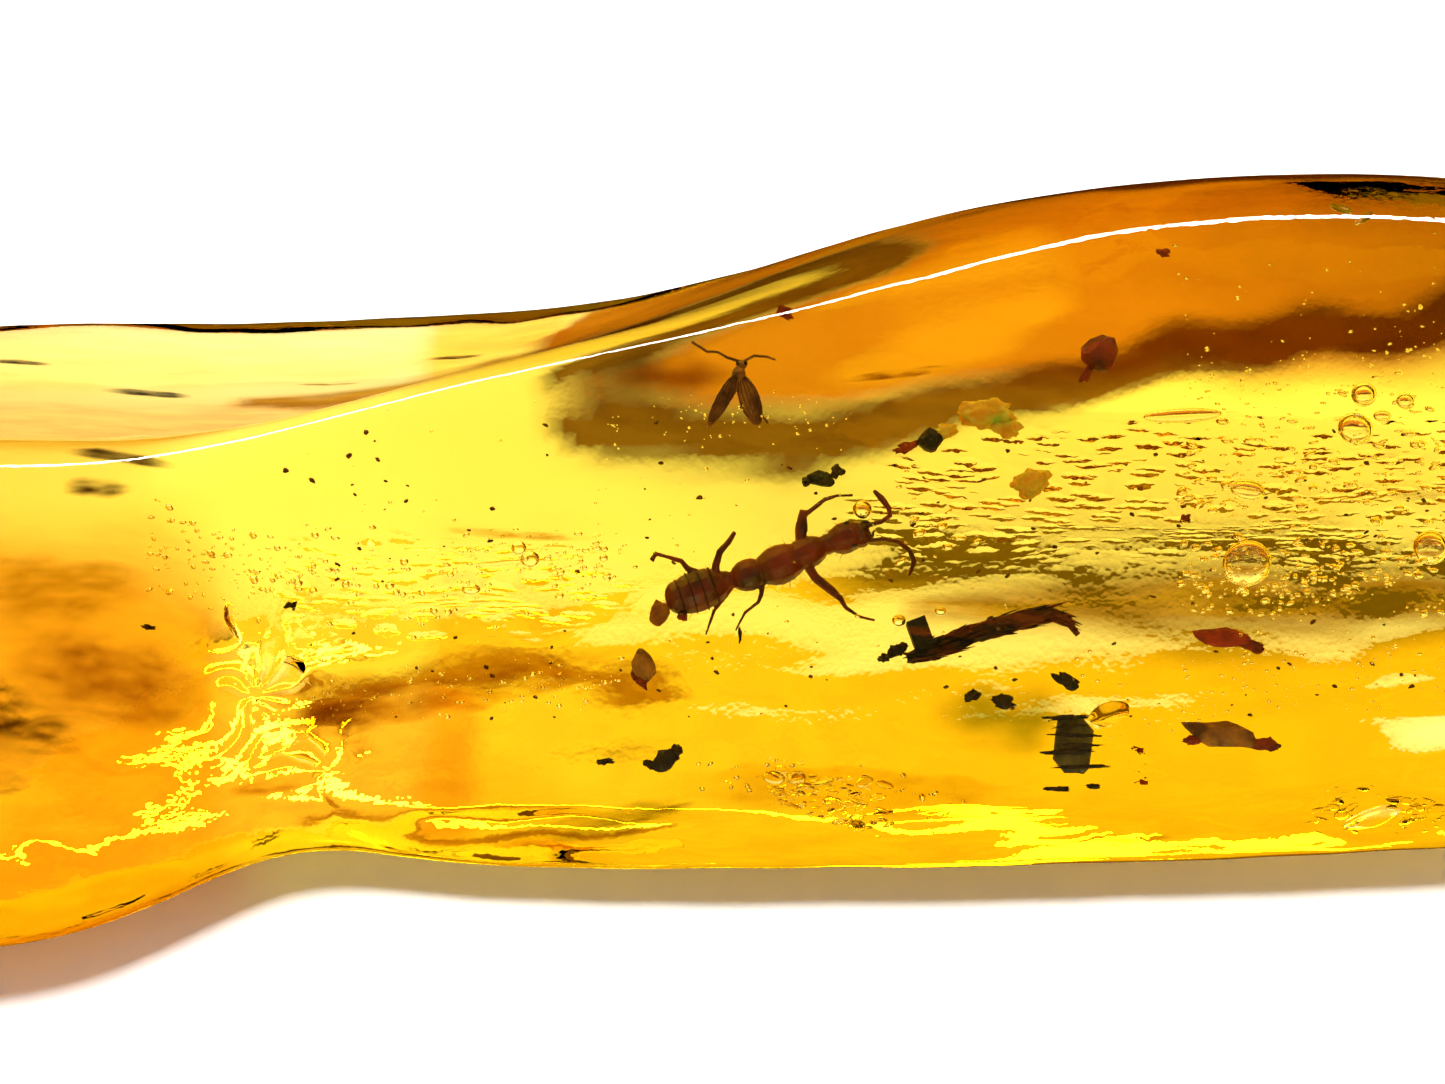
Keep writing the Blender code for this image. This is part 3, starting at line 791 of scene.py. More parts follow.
@dataclass
class Hollows:
    """All the air in the stone: named bubbles and cracks, and swarms of small bubbles.

    Attributes:
        drawn: The bubbles and cracks that the photograph shows one by one.
        swarms: The stretches full of small bubbles.
        sealed: The nodes that no hollow may touch.
        seed: Where the chance of the swarms starts.
        batch_size: How many hollows are carved before they are moved into the stone.
    """

    drawn: tuple[Hollow, ...] = (
        Hollow((10.75, 0.64, 0.1), (0.52, 0.46, 0.16), (8, 0, 20), 4),
        Hollow((9.05, 0.68, 0.0), (0.26, 0.24, 0.10), fineness=3),
        Hollow((13.25, 4.02, 0.0), (0.27, 0.24, 0.2), (0, 0, 10), 3),
        Hollow((13.04, 3.33, 0.1), (0.37, 0.32, 0.2), (0, 0, -10), 3),
        Hollow((14.1, 3.9, 0.0), (0.20, 0.17, 0.14), fineness=3),
        Hollow((13.62, 3.62, -0.1), (0.19, 0.12, 0.1), fineness=3),
        Hollow((9.50, 3.60, 0.0), (0.82, 0.15, 0.08), (0, 0, 3), 3),
        Hollow((10.80, 2.16, 0.0), (0.37, 0.21, 0.14), (0, 0, -8), 3),
        Hollow((14.51, 0.99, 0.1), (0.36, 0.34, 0.16), fineness=3),
        Hollow((2.86, 1.71, 0.1), (0.20, 0.19, 0.14), fineness=3),
        Hollow((6.30, 2.30, 0.0), (0.34, 0.28, 0.08), (10, 0, 10), 3),
        Hollow((8.2, 1.75, 0.0), (0.70, 0.16, 0.03), (28, 8, -14), 3, dish=0.08),
        Hollow((8.9, 1.62, 0.1), (0.50, 0.12, 0.03), (-30, 8, -6), 3, dish=0.06),
        Hollow((-3.95, 0.69, 0.0), (0.20, 0.17, 0.12), fineness=3),
        Hollow((-4.18, 0.92, 0.0), (0.16, 0.14, 0.1), fineness=3),
        Hollow((-5.16, 0.10, 0.1), (0.20, 0.12, 0.1), fineness=3),
        Hollow((-4.15, 0.28, 0.0), (0.62, 0.34, 0.04), (12, 6, 6), 4, 9, 0.03, 0.05),
        Hollow((-4.6, 0.62, 0.0), (0.55, 0.06, 0.03), (20, 0, 4), 3),
        Hollow((-4.4, 0.45, 0.05), (0.60, 0.05, 0.03), (20, 0, 4), 3),
        Hollow((-0.75, 1.50, 0.15), (1.32, 0.72, 0.010), (-36, -6, 10), 5, 26, 0.050, 0.16),
        Hollow((6.49, 0.05, 0.42), (1.35, 0.66, 0.010), (-34, 6, 14), 4, 9, 0.03, 0.10),
        Hollow((7.40, -2.10, 0.0), (0.62, 0.16, 0.010), (-30, 0, 48), 4, 5, 0.03, 0.1),
        Hollow((7.9, -2.45, -0.1), (0.45, 0.34, 0.010), (-34, 12, 30), 4, 6, 0.02, 0.08),
        Hollow((3.60, -0.55, 0.1), (0.14, 0.12, 0.1), fineness=3),
        Hollow((4.45, -0.35, 0.1), (0.12, 0.10, 0.08), fineness=3),
        Hollow((0.30, -0.62, 0.1), (0.34, 0.05, 0.03), (30, 0, 70), 3),
        Hollow((-0.35, -1.0, 0.0), (0.75, 0.07, 0.03), (36, 0, 12), 3),
        Hollow((-9.3, -1.35, -0.2), (0.62, 0.32, 0.012), (46, -12, 20), 4, 6, 0.04, 0.1),
        Hollow((-9.9, -1.10, -0.3), (0.42, 0.22, 0.012), (-40, 16, 60), 4, 5, 0.04, 0.1),
        Hollow((-10.4, -0.6, -0.2), (0.40, 0.16, 0.012), (42, 22, 100), 4, 5, 0.03, 0.08),
        Hollow((-10.25, 2.32, 1.92), (1.5, 0.12, 0.010), (-53, 0, -3), 4, 3, 0.02, 0.03),
        Hollow((-11.6, 1.34, 2.36), (0.95, 0.42, 0.010), (-50, 0, 4), 4, 16, 0.03, 0.05),
        Hollow((8.85, 7.66, 0.35), (0.24, 0.14, 0.010), (-51, 0, 30), 3, 5, 0.02, 0.04),
        Hollow((12.95, 8.01, 0.27), (0.26, 0.17, 0.010), (-51, 10, -20), 4, 6, 0.02, 0.05),
        Hollow((13.45, 7.74, 0.25), (0.26, 0.13, 0.010), (-49, -10, 40), 4, 5, 0.02, 0.05),
        Hollow((5.45, 6.10, 1.05), (0.45, 0.10, 0.010), (-50, 0, 8), 3, 4, 0.02, 0.03),
        Hollow((12.2, -4.3, -0.3), (0.7, 0.25, 0.012), (36, -10, 24), 4, 8, 0.04, 0.1),
        Hollow((13.3, -4.4, -0.5), (0.6, 0.2, 0.012), (44, -6, 16), 4, 8, 0.04, 0.08),
    )
    swarms: tuple[Swarm, ...] = (
        Swarm((3.6, 2.1, 1.3), (14.9, 2.6, 1.9), 520, (0.05, 0.17), (-0.5, 0.5), (1.3, 3.4), 0.45, 25.0),
        Swarm((7.2, 0.3, 0.6), (14.9, 0.3, 0.9), 520, (0.03, 0.12), (-0.5, 0.5), (1.0, 2.2), 0.6, 30.0),
        Swarm((4.6, 3.7, 0.5), (14.9, 4.8, 0.7), 220, (0.02, 0.07), (-0.4, 0.4), (1.0, 2.6), 0.6, 30.0),
        Swarm((-2.4, 3.3, 0.5), (4.6, 3.7, 0.5), 130, (0.02, 0.06), (-0.4, 0.4), (1.0, 2.4), 0.6, 30.0),
        Swarm((5.0, 6.0, 0.8), (14.9, 6.2, 1.2), 70, (0.02, 0.07), (-0.4, 0.3), (1.0, 3.0), 0.5, 30.0),
        Swarm((-5.6, 0.7, 0.6), (-2.0, 0.7, 0.8), 110, (0.03, 0.10), (-0.3, 0.3), (1.0, 2.0), 0.7, 20.0, 2),
        Swarm((-12.0, 0.6, 0.9), (-5.0, 0.2, 1.0), 260, (0.03, 0.12), (-0.6, 0.2), (1.0, 2.6), 0.5, 40.0),
        Swarm((-9.0, -2.0, 0.5), (-2.0, -1.7, 0.5), 160, (0.02, 0.08), (-0.4, 0.2), (1.0, 2.6), 0.5, 40.0),
        Swarm((7.0, -2.0, 1.0), (14.9, -1.2, 1.0), 200, (0.02, 0.06), (-0.5, 0.2), (1.0, 1.6), 0.8, 20.0),
        Swarm((-9.0, 1.0, 2.6), (14.9, 1.0, 3.0), 160, (0.02, 0.06), (-0.8, 0.8), (1.0, 1.6), 0.9, 20.0),
        Swarm((0.9, -3.8, 0.6), (3.4, -4.4, 0.55), 170, (0.06, 0.28), (-0.35, 0.15), (1.0, 2.2), 0.06, 26.0,
              2, 33.0),
        Swarm((-0.6, -3.6, 0.6), (5.0, -4.3, 0.6), 60, (0.03, 0.10), (-0.3, 0.1), (1.0, 2.0), 0.2, 50.0),
        Swarm((12.0, -4.2, 0.4), (14.9, -4.4, 0.5), 90, (0.04, 0.20), (-0.8, -0.2), (1.0, 2.2), 0.08, 26.0,
              2, 33.0),
    )
    sealed: tuple[str, ...] = (
        "ant", "gnat", "bark_splinter", "brown_flake", "black_speck", "black_grain", "dark_red_grain",
        "red_chip", "brown_chip", "leaf_scrap", "twig_stub", "black_flake",
    )
    seed: int = 11
    batch_size: int = 40

    def sealed_skins(self) -> list[BVHTree]:
        """Reads the skins of the sealed nodes, in millimetres.

        Returns:
            One search tree for each node.
        """
        skins = []
        for name in self.sealed:
            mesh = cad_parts[name].data
            places = [vert.co / MM for vert in mesh.vertices]
            skins.append(BVHTree.FromPolygons(places, [tuple(face.vertices) for face in mesh.polygons]))
        return skins

    @staticmethod
    def pour(batch: bmesh.types.BMesh, bm: bmesh.types.BMesh) -> None:
        """Moves a batch of hollows into the stone's shell, and leaves the batch empty.

        Args:
            batch: The hollows.
            bm: The stone's shell.
        """
        mesh = bpy.data.meshes.new("batch")
        batch.to_mesh(mesh)
        bm.from_mesh(mesh)
        bpy.data.meshes.remove(mesh)
        batch.clear()

    @staticmethod
    def depth_in(skin: BVHTree, place: Vector) -> float:
        """Tells how deep a point lies inside a closed skin; below 0 it lies outside."""
        near, normal, _, distance = skin.find_nearest(place)
        return distance if (place - near).dot(normal) < 0 else -distance

    def carve_into(self, bm: bmesh.types.BMesh) -> int:
        """Carves every hollow that lies well inside the resin and clear of everything else.

        Args:
            bm: The stone's shell.

        Returns:
            How many hollows were carved.
        """
        bm.normal_update()
        shell = BVHTree.FromBMesh(bm)
        skins = self.sealed_skins()
        chance = random.Random(self.seed)
        scattered = [hollow for swarm in self.swarms for hollow in swarm.scatter(chance)]
        taken: list[tuple[Vector, float]] = []
        batch = bmesh.new()
        for hollow in (*self.drawn, *scattered):
            middle = PLANE @ Vector(hollow.place)
            reach = max(hollow.halves)
            if self.depth_in(shell, middle) < 0.05 + 0.75 * reach:
                continue
            if any(self.depth_in(skin, middle) > -0.04 - 0.6 * reach for skin in skins):
                continue
            if any((middle - other).length < 0.6 * (reach + size) for other, size in taken):
                continue
            hollow.carve(batch)
            taken.append((middle, reach))
            if len(taken) % self.batch_size == 0:
                self.pour(batch, bm)
        self.pour(batch, bm)
        batch.free()
        return len(taken)


@dataclass(frozen=True)
class Pucker:
    """A star of creases that the skin is drawn into.

    Attributes:
        centre: The point of the skin that they run to.
        reach: How far they run.
        depth: How deep they go.
        creases: How many there are.
    """

    centre: Place
    reach: float
    depth: float
    creases: int

    def press(self, bm: bmesh.types.BMesh) -> None:
        """Divides the skin round the star finely, and presses the creases into it.

        Args:
            bm: The stone's shell.
        """
        middle = Vector(self.centre)
        near = [e for e in bm.edges if all((v.co - middle).length < self.reach * 1.1 for v in e.verts)]
        bmesh.ops.subdivide_edges(bm, edges=near, cuts=3, use_grid_fill=True, smooth=0.4)
        bm.normal_update()
        points = [vert for vert in bm.verts if (vert.co - middle).length < self.reach]
        facing = min(points, key=lambda vert: (vert.co - middle).length).normal.copy()
        across = facing.cross(Vector((1, 0, 0))).normalized()
        along = across.cross(facing).normalized()
        for vert in points:
            off = vert.co - middle
            far = off.length / self.reach
            angle = math.atan2(off.dot(across), off.dot(along))
            bend = 1.3 * noise.noise(vert.co * 0.8) + 0.25 * far
            crease = abs(math.sin(self.creases * 0.5 * (angle + bend))) ** 0.5
            crease += (1.0 - crease) * smooth_step(-0.2, 0.35,
                                                   noise.noise(vert.co * 1.1 + Vector((5.0, 0.0, 0.0))))
            bell = smooth_step(0.0, 0.12, far) * (1.0 - smooth_step(0.25, 1.0, far))
            vert.co = vert.co - vert.normal * self.depth * (1.0 - crease) * bell


@dataclass(frozen=True)
class Seam:
    """A thin sheet inside the stone that tints the light: mostly a stained seam, where one flow of resin met
    the next; two are dark sheets of painted reflection.

    Attributes:
        name: What it is.
        centre: Its middle, in millimetres.
        line: Its course as (u, v, half width) points from the middle, u along the nugget and v up the seam.
        colour: What it lets through.
        edges: How far its lower and its upper edge fade, as a share of its half width.
        streaks: How strongly it is streaked, from 0 to 1.
        slope: How steeply it rises towards the back, in degrees.
        wave: How far it waves.
    """

    name: str
    centre: Place
    line: tuple[Place, ...]
    colour: Colour
    edges: tuple[float, float] = (0.8, 0.8)
    streaks: float = 0.6
    slope: float = 40.0
    wave: float = 0.05

    def course(self, share: float) -> Vector:
        """Finds the (u, v, half width) at a share of the way along the seam.

        Args:
            share: How far along it is, from 0 to 1.

        Returns:
            The place and the half width there.
        """
        at = share * (len(self.line) - 1)
        i = min(int(at), len(self.line) - 2)
        past = at - i
        eased = smooth_step(0.0, 1.0, past) * 0.5 + past * 0.5
        return Vector(self.line[i]).lerp(Vector(self.line[i + 1]), eased)

    def weight(self, share: float, across: float) -> float:
        """Tells how strong the stain is at a place of the seam.

        Args:
            share: How far along the seam it is, from 0 to 1.
            across: How far across it is, from -1 at the lower edge to 1 at the upper.

        Returns:
            A share from 0 to 1.
        """
        low, high = self.edges
        fade = low if across < 0 else high
        edge = 1.0 - smooth_step(1.0 - fade, 0.97, abs(across))
        return edge * smooth_step(0.0, 0.3, min(share, 1.0 - share))

    def build(self, material: bpy.types.Material) -> bpy.types.Object:
        """Makes the seam as one thin sheet.

        Args:
            material: The seams' finish.

        Returns:
            The seam.
        """
        placed = Matrix.Translation(self.centre) @ Matrix.Rotation(math.radians(self.slope), 4, "X")
        bm = bmesh.new()
        length = self.line[-1][0] - self.line[0][0]
        bmesh.ops.create_grid(bm, x_segments=max(12, int(length / 0.08)), y_segments=18, size=1.0)
        paint = []
        for vert in bm.verts:
            share, across = (vert.co.x + 1) / 2, vert.co.y
            u, v, half = self.course(share)
            v += half * across
            ragged = across + 0.3 * noise.noise(Vector((u * 1.1, v * 2.2, 3.0)))
            torn = 0.5 + 0.9 * noise.noise(Vector((u * 1.3, v * 5.0, 6.0)))
            torn += 0.5 * noise.noise(Vector((u * 3.5, v * 11.0, 2.0)))
            whole = 1.0 - self.streaks * (1.0 - min(1.0, max(0.0, torn)))
            paint.append(self.weight(share, max(-1.0, min(1.0, ragged))) * whole)
            vert.co = placed @ Vector((u, v, self.wave * noise.noise(Vector((u * 0.8, v * 1.5, 9.0)))))
        sheet = piece_from(bm, "seam_" + self.name, material)
        layer = sheet.data.color_attributes.new(STAIN_AND_LIGHT_LAYER, "FLOAT_COLOR", "POINT")
        for weight, entry in zip(paint, layer.data):
            through = [(1.0 + (share - 1.0) * weight) ** 2 for share in self.colour]
            entry.color = (*through, weight * self.streaks)
        return sheet


SEAMS = (
    Seam("left_band", (-5.35, -3.58, 4.02),
         ((-4.0, -0.1, 0.45), (-2.9, -0.15, 0.62), (-1.0, 0.0, 0.68), (1.0, 0.25, 0.6), (2.6, 0.5, 0.4),
          (4.0, 0.9, 0.2)),
         (0.74, 0.54, 0.16), (0.25, 0.9), 0.8),
    Seam("left_band_dark", (-7.82, -3.95, 4.02),
         ((-2.0, -0.1, 0.45), (0.0, 0.0, 0.7), (2.2, 0.15, 0.35)),
         (0.55, 0.38, 0.10), (0.4, 0.9), 0.8),
    Seam("olive_smudge", (5.77, -3.65, 3.28),
         ((-1.7, 0.1, 0.5), (-0.4, 0.0, 0.85), (0.5, -0.05, 0.85), (1.7, 0.1, 0.5)),
         (0.34, 0.40, 0.20), (0.95, 0.95), 0.2),
    Seam("dark_wedge", (-2.0, -5.38, 2.05),
         ((-1.5, -0.2, 0.05), (-0.2, 0.0, 0.13), (1.0, 0.25, 0.12), (1.5, 0.4, 0.05)),
         (0.5, 0.5, 0.3), (0.6, 0.6), 0.9),
    Seam("olive_wedge", (-2.51, -5.48, 1.93),
         ((-2.4, -0.35, 0.12), (-0.8, -0.1, 0.32), (0.8, 0.2, 0.42), (1.9, 0.5, 0.2)),
         (0.58, 0.60, 0.35), (0.8, 0.35), 0.7),
    Seam("bulb_brown", (-12.26, -4.49, 5.35),
         ((-2.4, 0.3, 0.8), (-0.8, 0.1, 1.25), (0.7, -0.1, 1.15), (2.2, -0.3, 0.6)),
         (0.40, 0.25, 0.04), (0.9, 0.9), 0.5),
    Seam("bulb_hatch", (-13.84, -5.61, 5.58),
         ((-1.6, 0.2, 0.8), (-0.4, 0.1, 0.8), (1.3, -0.4, 0.3)),
         (0.12, 0.07, 0.02), (0.6, 0.8), 1.0),
    Seam("bulb_olive", (-13.40, -3.29, 6.23),
         ((-1.8, 0.0, 1.0), (0.2, 0.1, 0.9), (2.0, 0.3, 0.4)),
         (0.6, 0.52, 0.12), (0.9, 0.4), 0.5),
    # Painted reflection: a near-black sheet under the bulb's skin that stands for dark surroundings mirrored
    # in a small dent.
    Seam("dark_reflection_streak", (-12.25, -0.35, 7.0),
         ((-1.2, 0.2, 0.12), (-0.5, 0.15, 0.2), (0.4, 0.0, 0.18), (1.2, -0.15, 0.08)),
         (0.03, 0.004, 0.004), (0.6, 0.6), 0.25, 25.0),
    # Painted reflection: a dark sheet beside it, for the same mirrored dark surroundings.
    Seam("dark_reflection_block", (-12.69, -1.15, 7.2),
         ((-0.7, 0.0, 0.2), (-0.2, 0.0, 0.32), (0.3, 0.0, 0.3), (0.8, 0.0, 0.1)),
         (0.08, 0.04, 0.03), (0.7, 0.7), 0.6, 25.0),
    Seam("smoky_spot", (-1.22, 2.14, 6.57),
         ((-1.5, 0.0, 0.4), (-0.3, 0.0, 0.6), (0.6, 0.0, 0.5), (1.8, 0.0, 0.2)),
         (0.35, 0.22, 0.08), (1.0, 1.0), 0.15),
    Seam("lens_streak", (3.48, 2.09, 6.76),
         ((-1.0, -0.1, 0.05), (-0.2, 0.0, 0.12), (0.8, 0.12, 0.1), (1.3, 0.2, 0.04)),
         (0.45, 0.3, 0.1), (0.5, 0.5), 0.9),
    Seam("mid_streak", (-4.25, -0.88, 5.55),
         ((-1.6, 0.1, 0.08), (-0.4, 0.0, 0.16), (0.8, -0.05, 0.12), (1.7, -0.1, 0.06)),
         (0.7, 0.5, 0.15), (0.8, 0.8), 0.9),
    Seam("waist_smear", (-9.38, -5.40, 3.10),
         ((-0.9, 0.0, 0.1), (0.0, 0.05, 0.28), (0.9, 0.1, 0.15)),
         (0.65, 0.45, 0.1), (0.8, 0.8), 0.8),
    Seam("low_brown", (8.35, -5.70, 1.83),
         ((-1.2, 0.0, 0.05), (0.0, 0.0, 0.14), (1.2, 0.1, 0.06)),
         (0.6, 0.45, 0.15), (0.7, 0.7), 0.9),
    Seam("gold_pool", (1.58, -5.22, 2.50),
         ((-2.9, 0.2, 0.25), (-1.2, 0.25, 0.55), (1.2, 0.1, 0.6), (3.4, 0.0, 0.5), (5.0, 0.0, 0.2)),
         (0.86, 0.74, 0.3), (0.7, 0.25), 0.5),
    Seam("ledge_fleck_left", (-12.47, 4.21, 4.21),
         ((-1.05, 0.05, 0.08), (-0.3, 0.0, 0.17), (0.5, -0.02, 0.16), (1.05, -0.1, 0.06)),
         (0.03, 0.03, 0.05), (0.5, 0.5), 0.35, -14.0),
    Seam("ledge_fleck_end", (-15.35, 5.21, 4.08),
         ((-0.8, 0.0, 0.08), (0.0, 0.0, 0.14), (0.75, -0.05, 0.05)),
         (0.04, 0.04, 0.05), (0.5, 0.5), 0.35, -14.0),
    Seam("ledge_fleck_right", (-5.85, 5.54, 3.88),
         ((-0.7, 0.0, 0.05), (0.0, 0.0, 0.12), (0.7, 0.02, 0.05)),
         (0.05, 0.04, 0.02), (0.5, 0.5), 0.35, -14.0),
    Seam("ledge_smear", (-8.59, 4.68, 3.95),
         ((-0.8, 0.0, 0.05), (0.0, 0.0, 0.09), (0.8, 0.03, 0.04)),
         (0.45, 0.38, 0.2), (0.7, 0.7), 0.9, -14.0),
)


@dataclass
class CopalStone:
    """The clear stone: a loft of unlike sections along the nugget, smoothed, with its hollows.

    Attributes:
        half_length: Half the length of the cage.
        body_half: Where the straight body ends and the round ends begin.
        stations: The places of the body's rings along the nugget.
        end_shares: The end rings, as shares of the round end's length.
        end_roundness: How full the round ends are.
        left_core: The point (y, z) that the left end draws in to.
        right_core: The point (y, z) that the right end draws in to.
        base_shares: Where the flat underside begins and ends, from back to front.
        levels: The number of subdivisions of the cage.
        wave_depth: How far the long waves of the hand-polished skin go in.
        stains_and_painted_light: The stain marks on the skin, with painted shade and painted light.
        pits: Where the skin is pitted by fine marks.
        puckers: The stars of creases in the skin.
        hollows: The bubbles and cracks.
        shell_points: How many vertices the outer skin has, which come before those of the hollows.
        rails: Lengthwise lines of the cage through (x, y, z) points, round the section from under the front.
    """

    half_length: float = 25.0
    body_half: float = 16.5
    stations: tuple[float, ...] = (-16.5, -12.5, -9.0, -6.0, -2.0, 4.0, 10.0, 16.5)
    end_shares: tuple[float, ...] = (0.45, 0.85)
    end_roundness: float = 1.7
    left_core: tuple[float, float] = (-2.4, 3.5)
    right_core: tuple[float, float] = (-0.4, 3.9)
    base_shares: tuple[float, float] = (0.14, 0.86)
    levels: int = 4
    wave_depth: float = 0.05
    stains_and_painted_light: tuple[StainAndPaintedLight, ...] = (
        # Painted shade: darkens and reddens the view through the back underside, standing for the stone's
        # own tinted shadow on the floor just behind it.
        StainAndPaintedLight(
            Side.UNDER,
            ((-4.0, 6.0, 0.3), (-2.5, 6.6, 1.2), (1.6, 6.9, 1.4), (5.8, 7.9, 1.8), (9.9, 8.3, 1.9),
             (23.5, 8.6, 2.0)),
            (0.26, 0.052, 0.001), 0.35, 0.15,
        ),
        # Painted light: a tint above one that brightens a thin streak in the view through the back
        # underside.
        StainAndPaintedLight(
            Side.UNDER, ((2.2, 6.3, 0.1), (4.5, 6.75, 0.4), (6.2, 7.15, 0.35), (8.2, 7.7, 0.1)),
            (1.5, 2.3, 2.3), 0.7, 0.0, 0.1,
        ),
        # Painted shadow: a dark band along the back underside that stands for the contact shadow where the
        # back edge meets the floor.
        StainAndPaintedLight(
            Side.UNDER,
            ((-4.2, 5.4, 0.2), (-2.5, 5.3, 0.65), (1.6, 5.25, 0.7), (5.8, 6.25, 0.5), (9.9, 7.0, 0.45),
             (13.0, 7.35, 0.4), (23.5, 7.4, 0.4)),
            (0.06, 0.018, 0.001), 0.5, 0.7,
        ),
        StainAndPaintedLight(
            Side.UNDER,
            ((3.5, 1.7, 0.4), (5.8, 1.9, 0.9), (9.9, 2.1, 1.1), (16.0, 2.1, 1.1), (23.5, 2.1, 0.8)),
            (0.34, 0.14, 0.004), 0.7, 1.0,
        ),
        StainAndPaintedLight(
            Side.UPPER,
            ((-11.0, 3.6, 0.2), (-8.5, 3.9, 0.5), (-5.0, 4.7, 0.5), (-2.0, 5.0, 0.4), (-0.5, 5.2, 0.1)),
            (0.30, 0.13, 0.008), 0.6, 0.8,
        ),
        # Painted shade: the back of the crest tints the thin strip seen just under the top edge a darker
        # gold.
        StainAndPaintedLight(
            Side.BACK,
            ((-7.0, 5.5, 2.5), (-2.0, 5.5, 5.0), (4.0, 5.5, 6.5), (10.0, 5.5, 6.8), (23.5, 5.5, 6.8)),
            (0.84, 0.54, 0.08), 0.4, 0.25,
        ),
        StainAndPaintedLight(
            Side.UPPER,
            ((-23.5, 5.6, 3.0), (-16.0, 5.6, 2.6), (-8.0, 6.4, 2.4), (-3.0, 6.9, 1.6)),
            (0.86, 0.56, 0.26), 0.5, 0.3,
        ),
        StainAndPaintedLight(
            Side.UPPER, ((-23.5, 2.6, 1.5), (-14.0, 2.8, 1.6), (-9.0, 3.2, 1.5), (-5.0, 3.8, 0.9)),
            (0.86, 0.42, 0.30), 0.8, 0.4,
        ),
        StainAndPaintedLight(Side.FRONT, ((-23.5, 3.5, 6.0), (-12.0, 3.5, 5.5), (-9.6, 3.5, 4.0)), (0.90, 0.52, 0.08), 0.4,
              0.2),
        StainAndPaintedLight(Side.UNDER, ((-23.5, -3.5, 7.5), (-12.5, -3.5, 7.0), (-9.4, -2.5, 4.0)), (0.80, 0.40, 0.06),
              0.4, 0.3),
        StainAndPaintedLight(Side.FRONT, ((-10.5, 3.0, 3.0), (-6.0, 2.5, 2.6), (-2.0, 2.0, 1.2)), (0.94, 0.76, 0.32), 0.6,
              0.2),
        StainAndPaintedLight(Side.FRONT, ((-9.6, 1.5, 1.0), (-6.0, 1.5, 2.0), (10.0, 1.5, 2.4), (23.5, 1.5, 2.4)),
              (0.98, 0.95, 0.42), 0.7, 0.3),
    )
    pits: tuple[StainAndPaintedLight, ...] = (
        StainAndPaintedLight(Side.UNDER, ((2.5, 4.2, 0.8), (6.0, 4.6, 1.6), (12.0, 4.9, 2.0), (23.5, 5.0, 2.0)), (1, 1, 1),
              0.5),
        StainAndPaintedLight(Side.UNDER, ((-10.5, 2.2, 0.8), (-8.0, 2.2, 1.5), (-4.0, 2.4, 1.3), (-1.5, 2.4, 0.5)),
              (1, 1, 1), 0.9),
    )
    puckers: tuple[Pucker, ...] = (
        Pucker((-9.35, -4.80, 5.25), 1.9, 0.085, 9),
        Pucker((-8.0, -5.5, 3.6), 1.5, 0.06, 6),
    )
    hollows: Hollows = field(default_factory=Hollows)
    shell_points: int = 0
    rails: dict[str, list[Place]] = field(
        default_factory=lambda: {
            "base_front": [
                (-16.5, -7.4, 0), (-12.5, -7.1, 0), (-9, -5.2, 0), (-4, -5.6, 0), (5, -5.7, 0),
                (16.5, -5.2, 0),
            ],
            "front_foot": [
                (-16.5, -10.8, 1.2), (-12.5, -10.2, 1.1), (-9, -7.2, 0.7), (-6.5, -7.9, 0.6),
                (-4, -8.1, 0.6), (5, -8.1, 0.6), (16.5, -7.7, 0.7),
            ],
            "front_wall": [
                (-16.5, -11.2, 3.2), (-12.5, -10.4, 3.1), (-9, -7.6, 2.5), (-6.5, -8.2, 2.4),
                (-4, -8.3, 2.5), (5, -8.4, 2.7), (16.5, -7.9, 2.9),
            ],
            "brow": [
                (-16.5, -9.4, 6.1), (-12.5, -8.6, 6), (-9, -6.4, 5.2), (-4, -5.6, 5.9), (5, -4.2, 6.7),
                (16.5, -3.9, 6.7),
            ],
            "top": [
                (-16.5, -5.6, 7.8), (-12.5, -5.2, 7.7), (-9, -4, 7.2), (-4, -2.9, 7.7), (5, -1.6, 8.35),
                (16.5, -1.4, 8.4),
            ],
            "crest": [
                (-16.5, -1.5, 8), (-12.5, -1.6, 7.9), (-9, -1.1, 8.3), (-4, 0.4, 8.8), (0, 0.9, 8.6),
                (5, 1.4, 9.2), (10, 1.7, 9.4), (16.5, 1.3, 9.3),
            ],
            "saddle": [
                (-16.5, -0.3, 5.6), (-12.5, -0.5, 5.2), (-9, -0.3, 5.2), (-4, 1.3, 5.8), (0, 2.6, 7),
                (5, 3.7, 8.5), (10, 4.4, 9.1), (16.5, 4.3, 9),
            ],
            "ledge": [
                (-16.5, 3, 4.6), (-12.5, 2.8, 4.3), (-9, 2.9, 4), (-4, 3.8, 4.1), (0, 4.9, 5), (5, 6, 7),
                (16.5, 6.4, 7.3),
            ],
            "back_edge": [
                (-16.5, 6.2, 3.4), (-12.5, 6.3, 3.2), (-9, 6.6, 3.1), (-4, 6.7, 3.2), (0, 6.7, 3.6),
                (5, 6.9, 4.6), (16.5, 7.2, 4.8),
            ],
            "back_foot": [(-16.5, 6, 1.1), (-4, 6, 1), (5, 6.6, 1.5), (16.5, 6.8, 1.6)],
            "base_back": [(-16.5, 4.6, 0), (-4, 4.6, 0), (5, 5.2, 0), (16.5, 5.2, 0)],
        }
    )

    @staticmethod
    def along_rail(knots: Sequence[Place], x: float) -> Vector:
        """Finds where a smooth curve through a rail's points passes a station.

        Args:
            knots: The rail's (x, y, z) points.
            x: The station.

        Returns:
            The point (y, z) there.
        """
        places = [knot[0] for knot in knots]
        points = [Vector(knot[1:]) for knot in knots]
        if x <= places[0]:
            return points[0]
        if x >= places[-1]:
            return points[-1]
        i = max(j for j in range(len(places) - 1) if places[j] <= x)

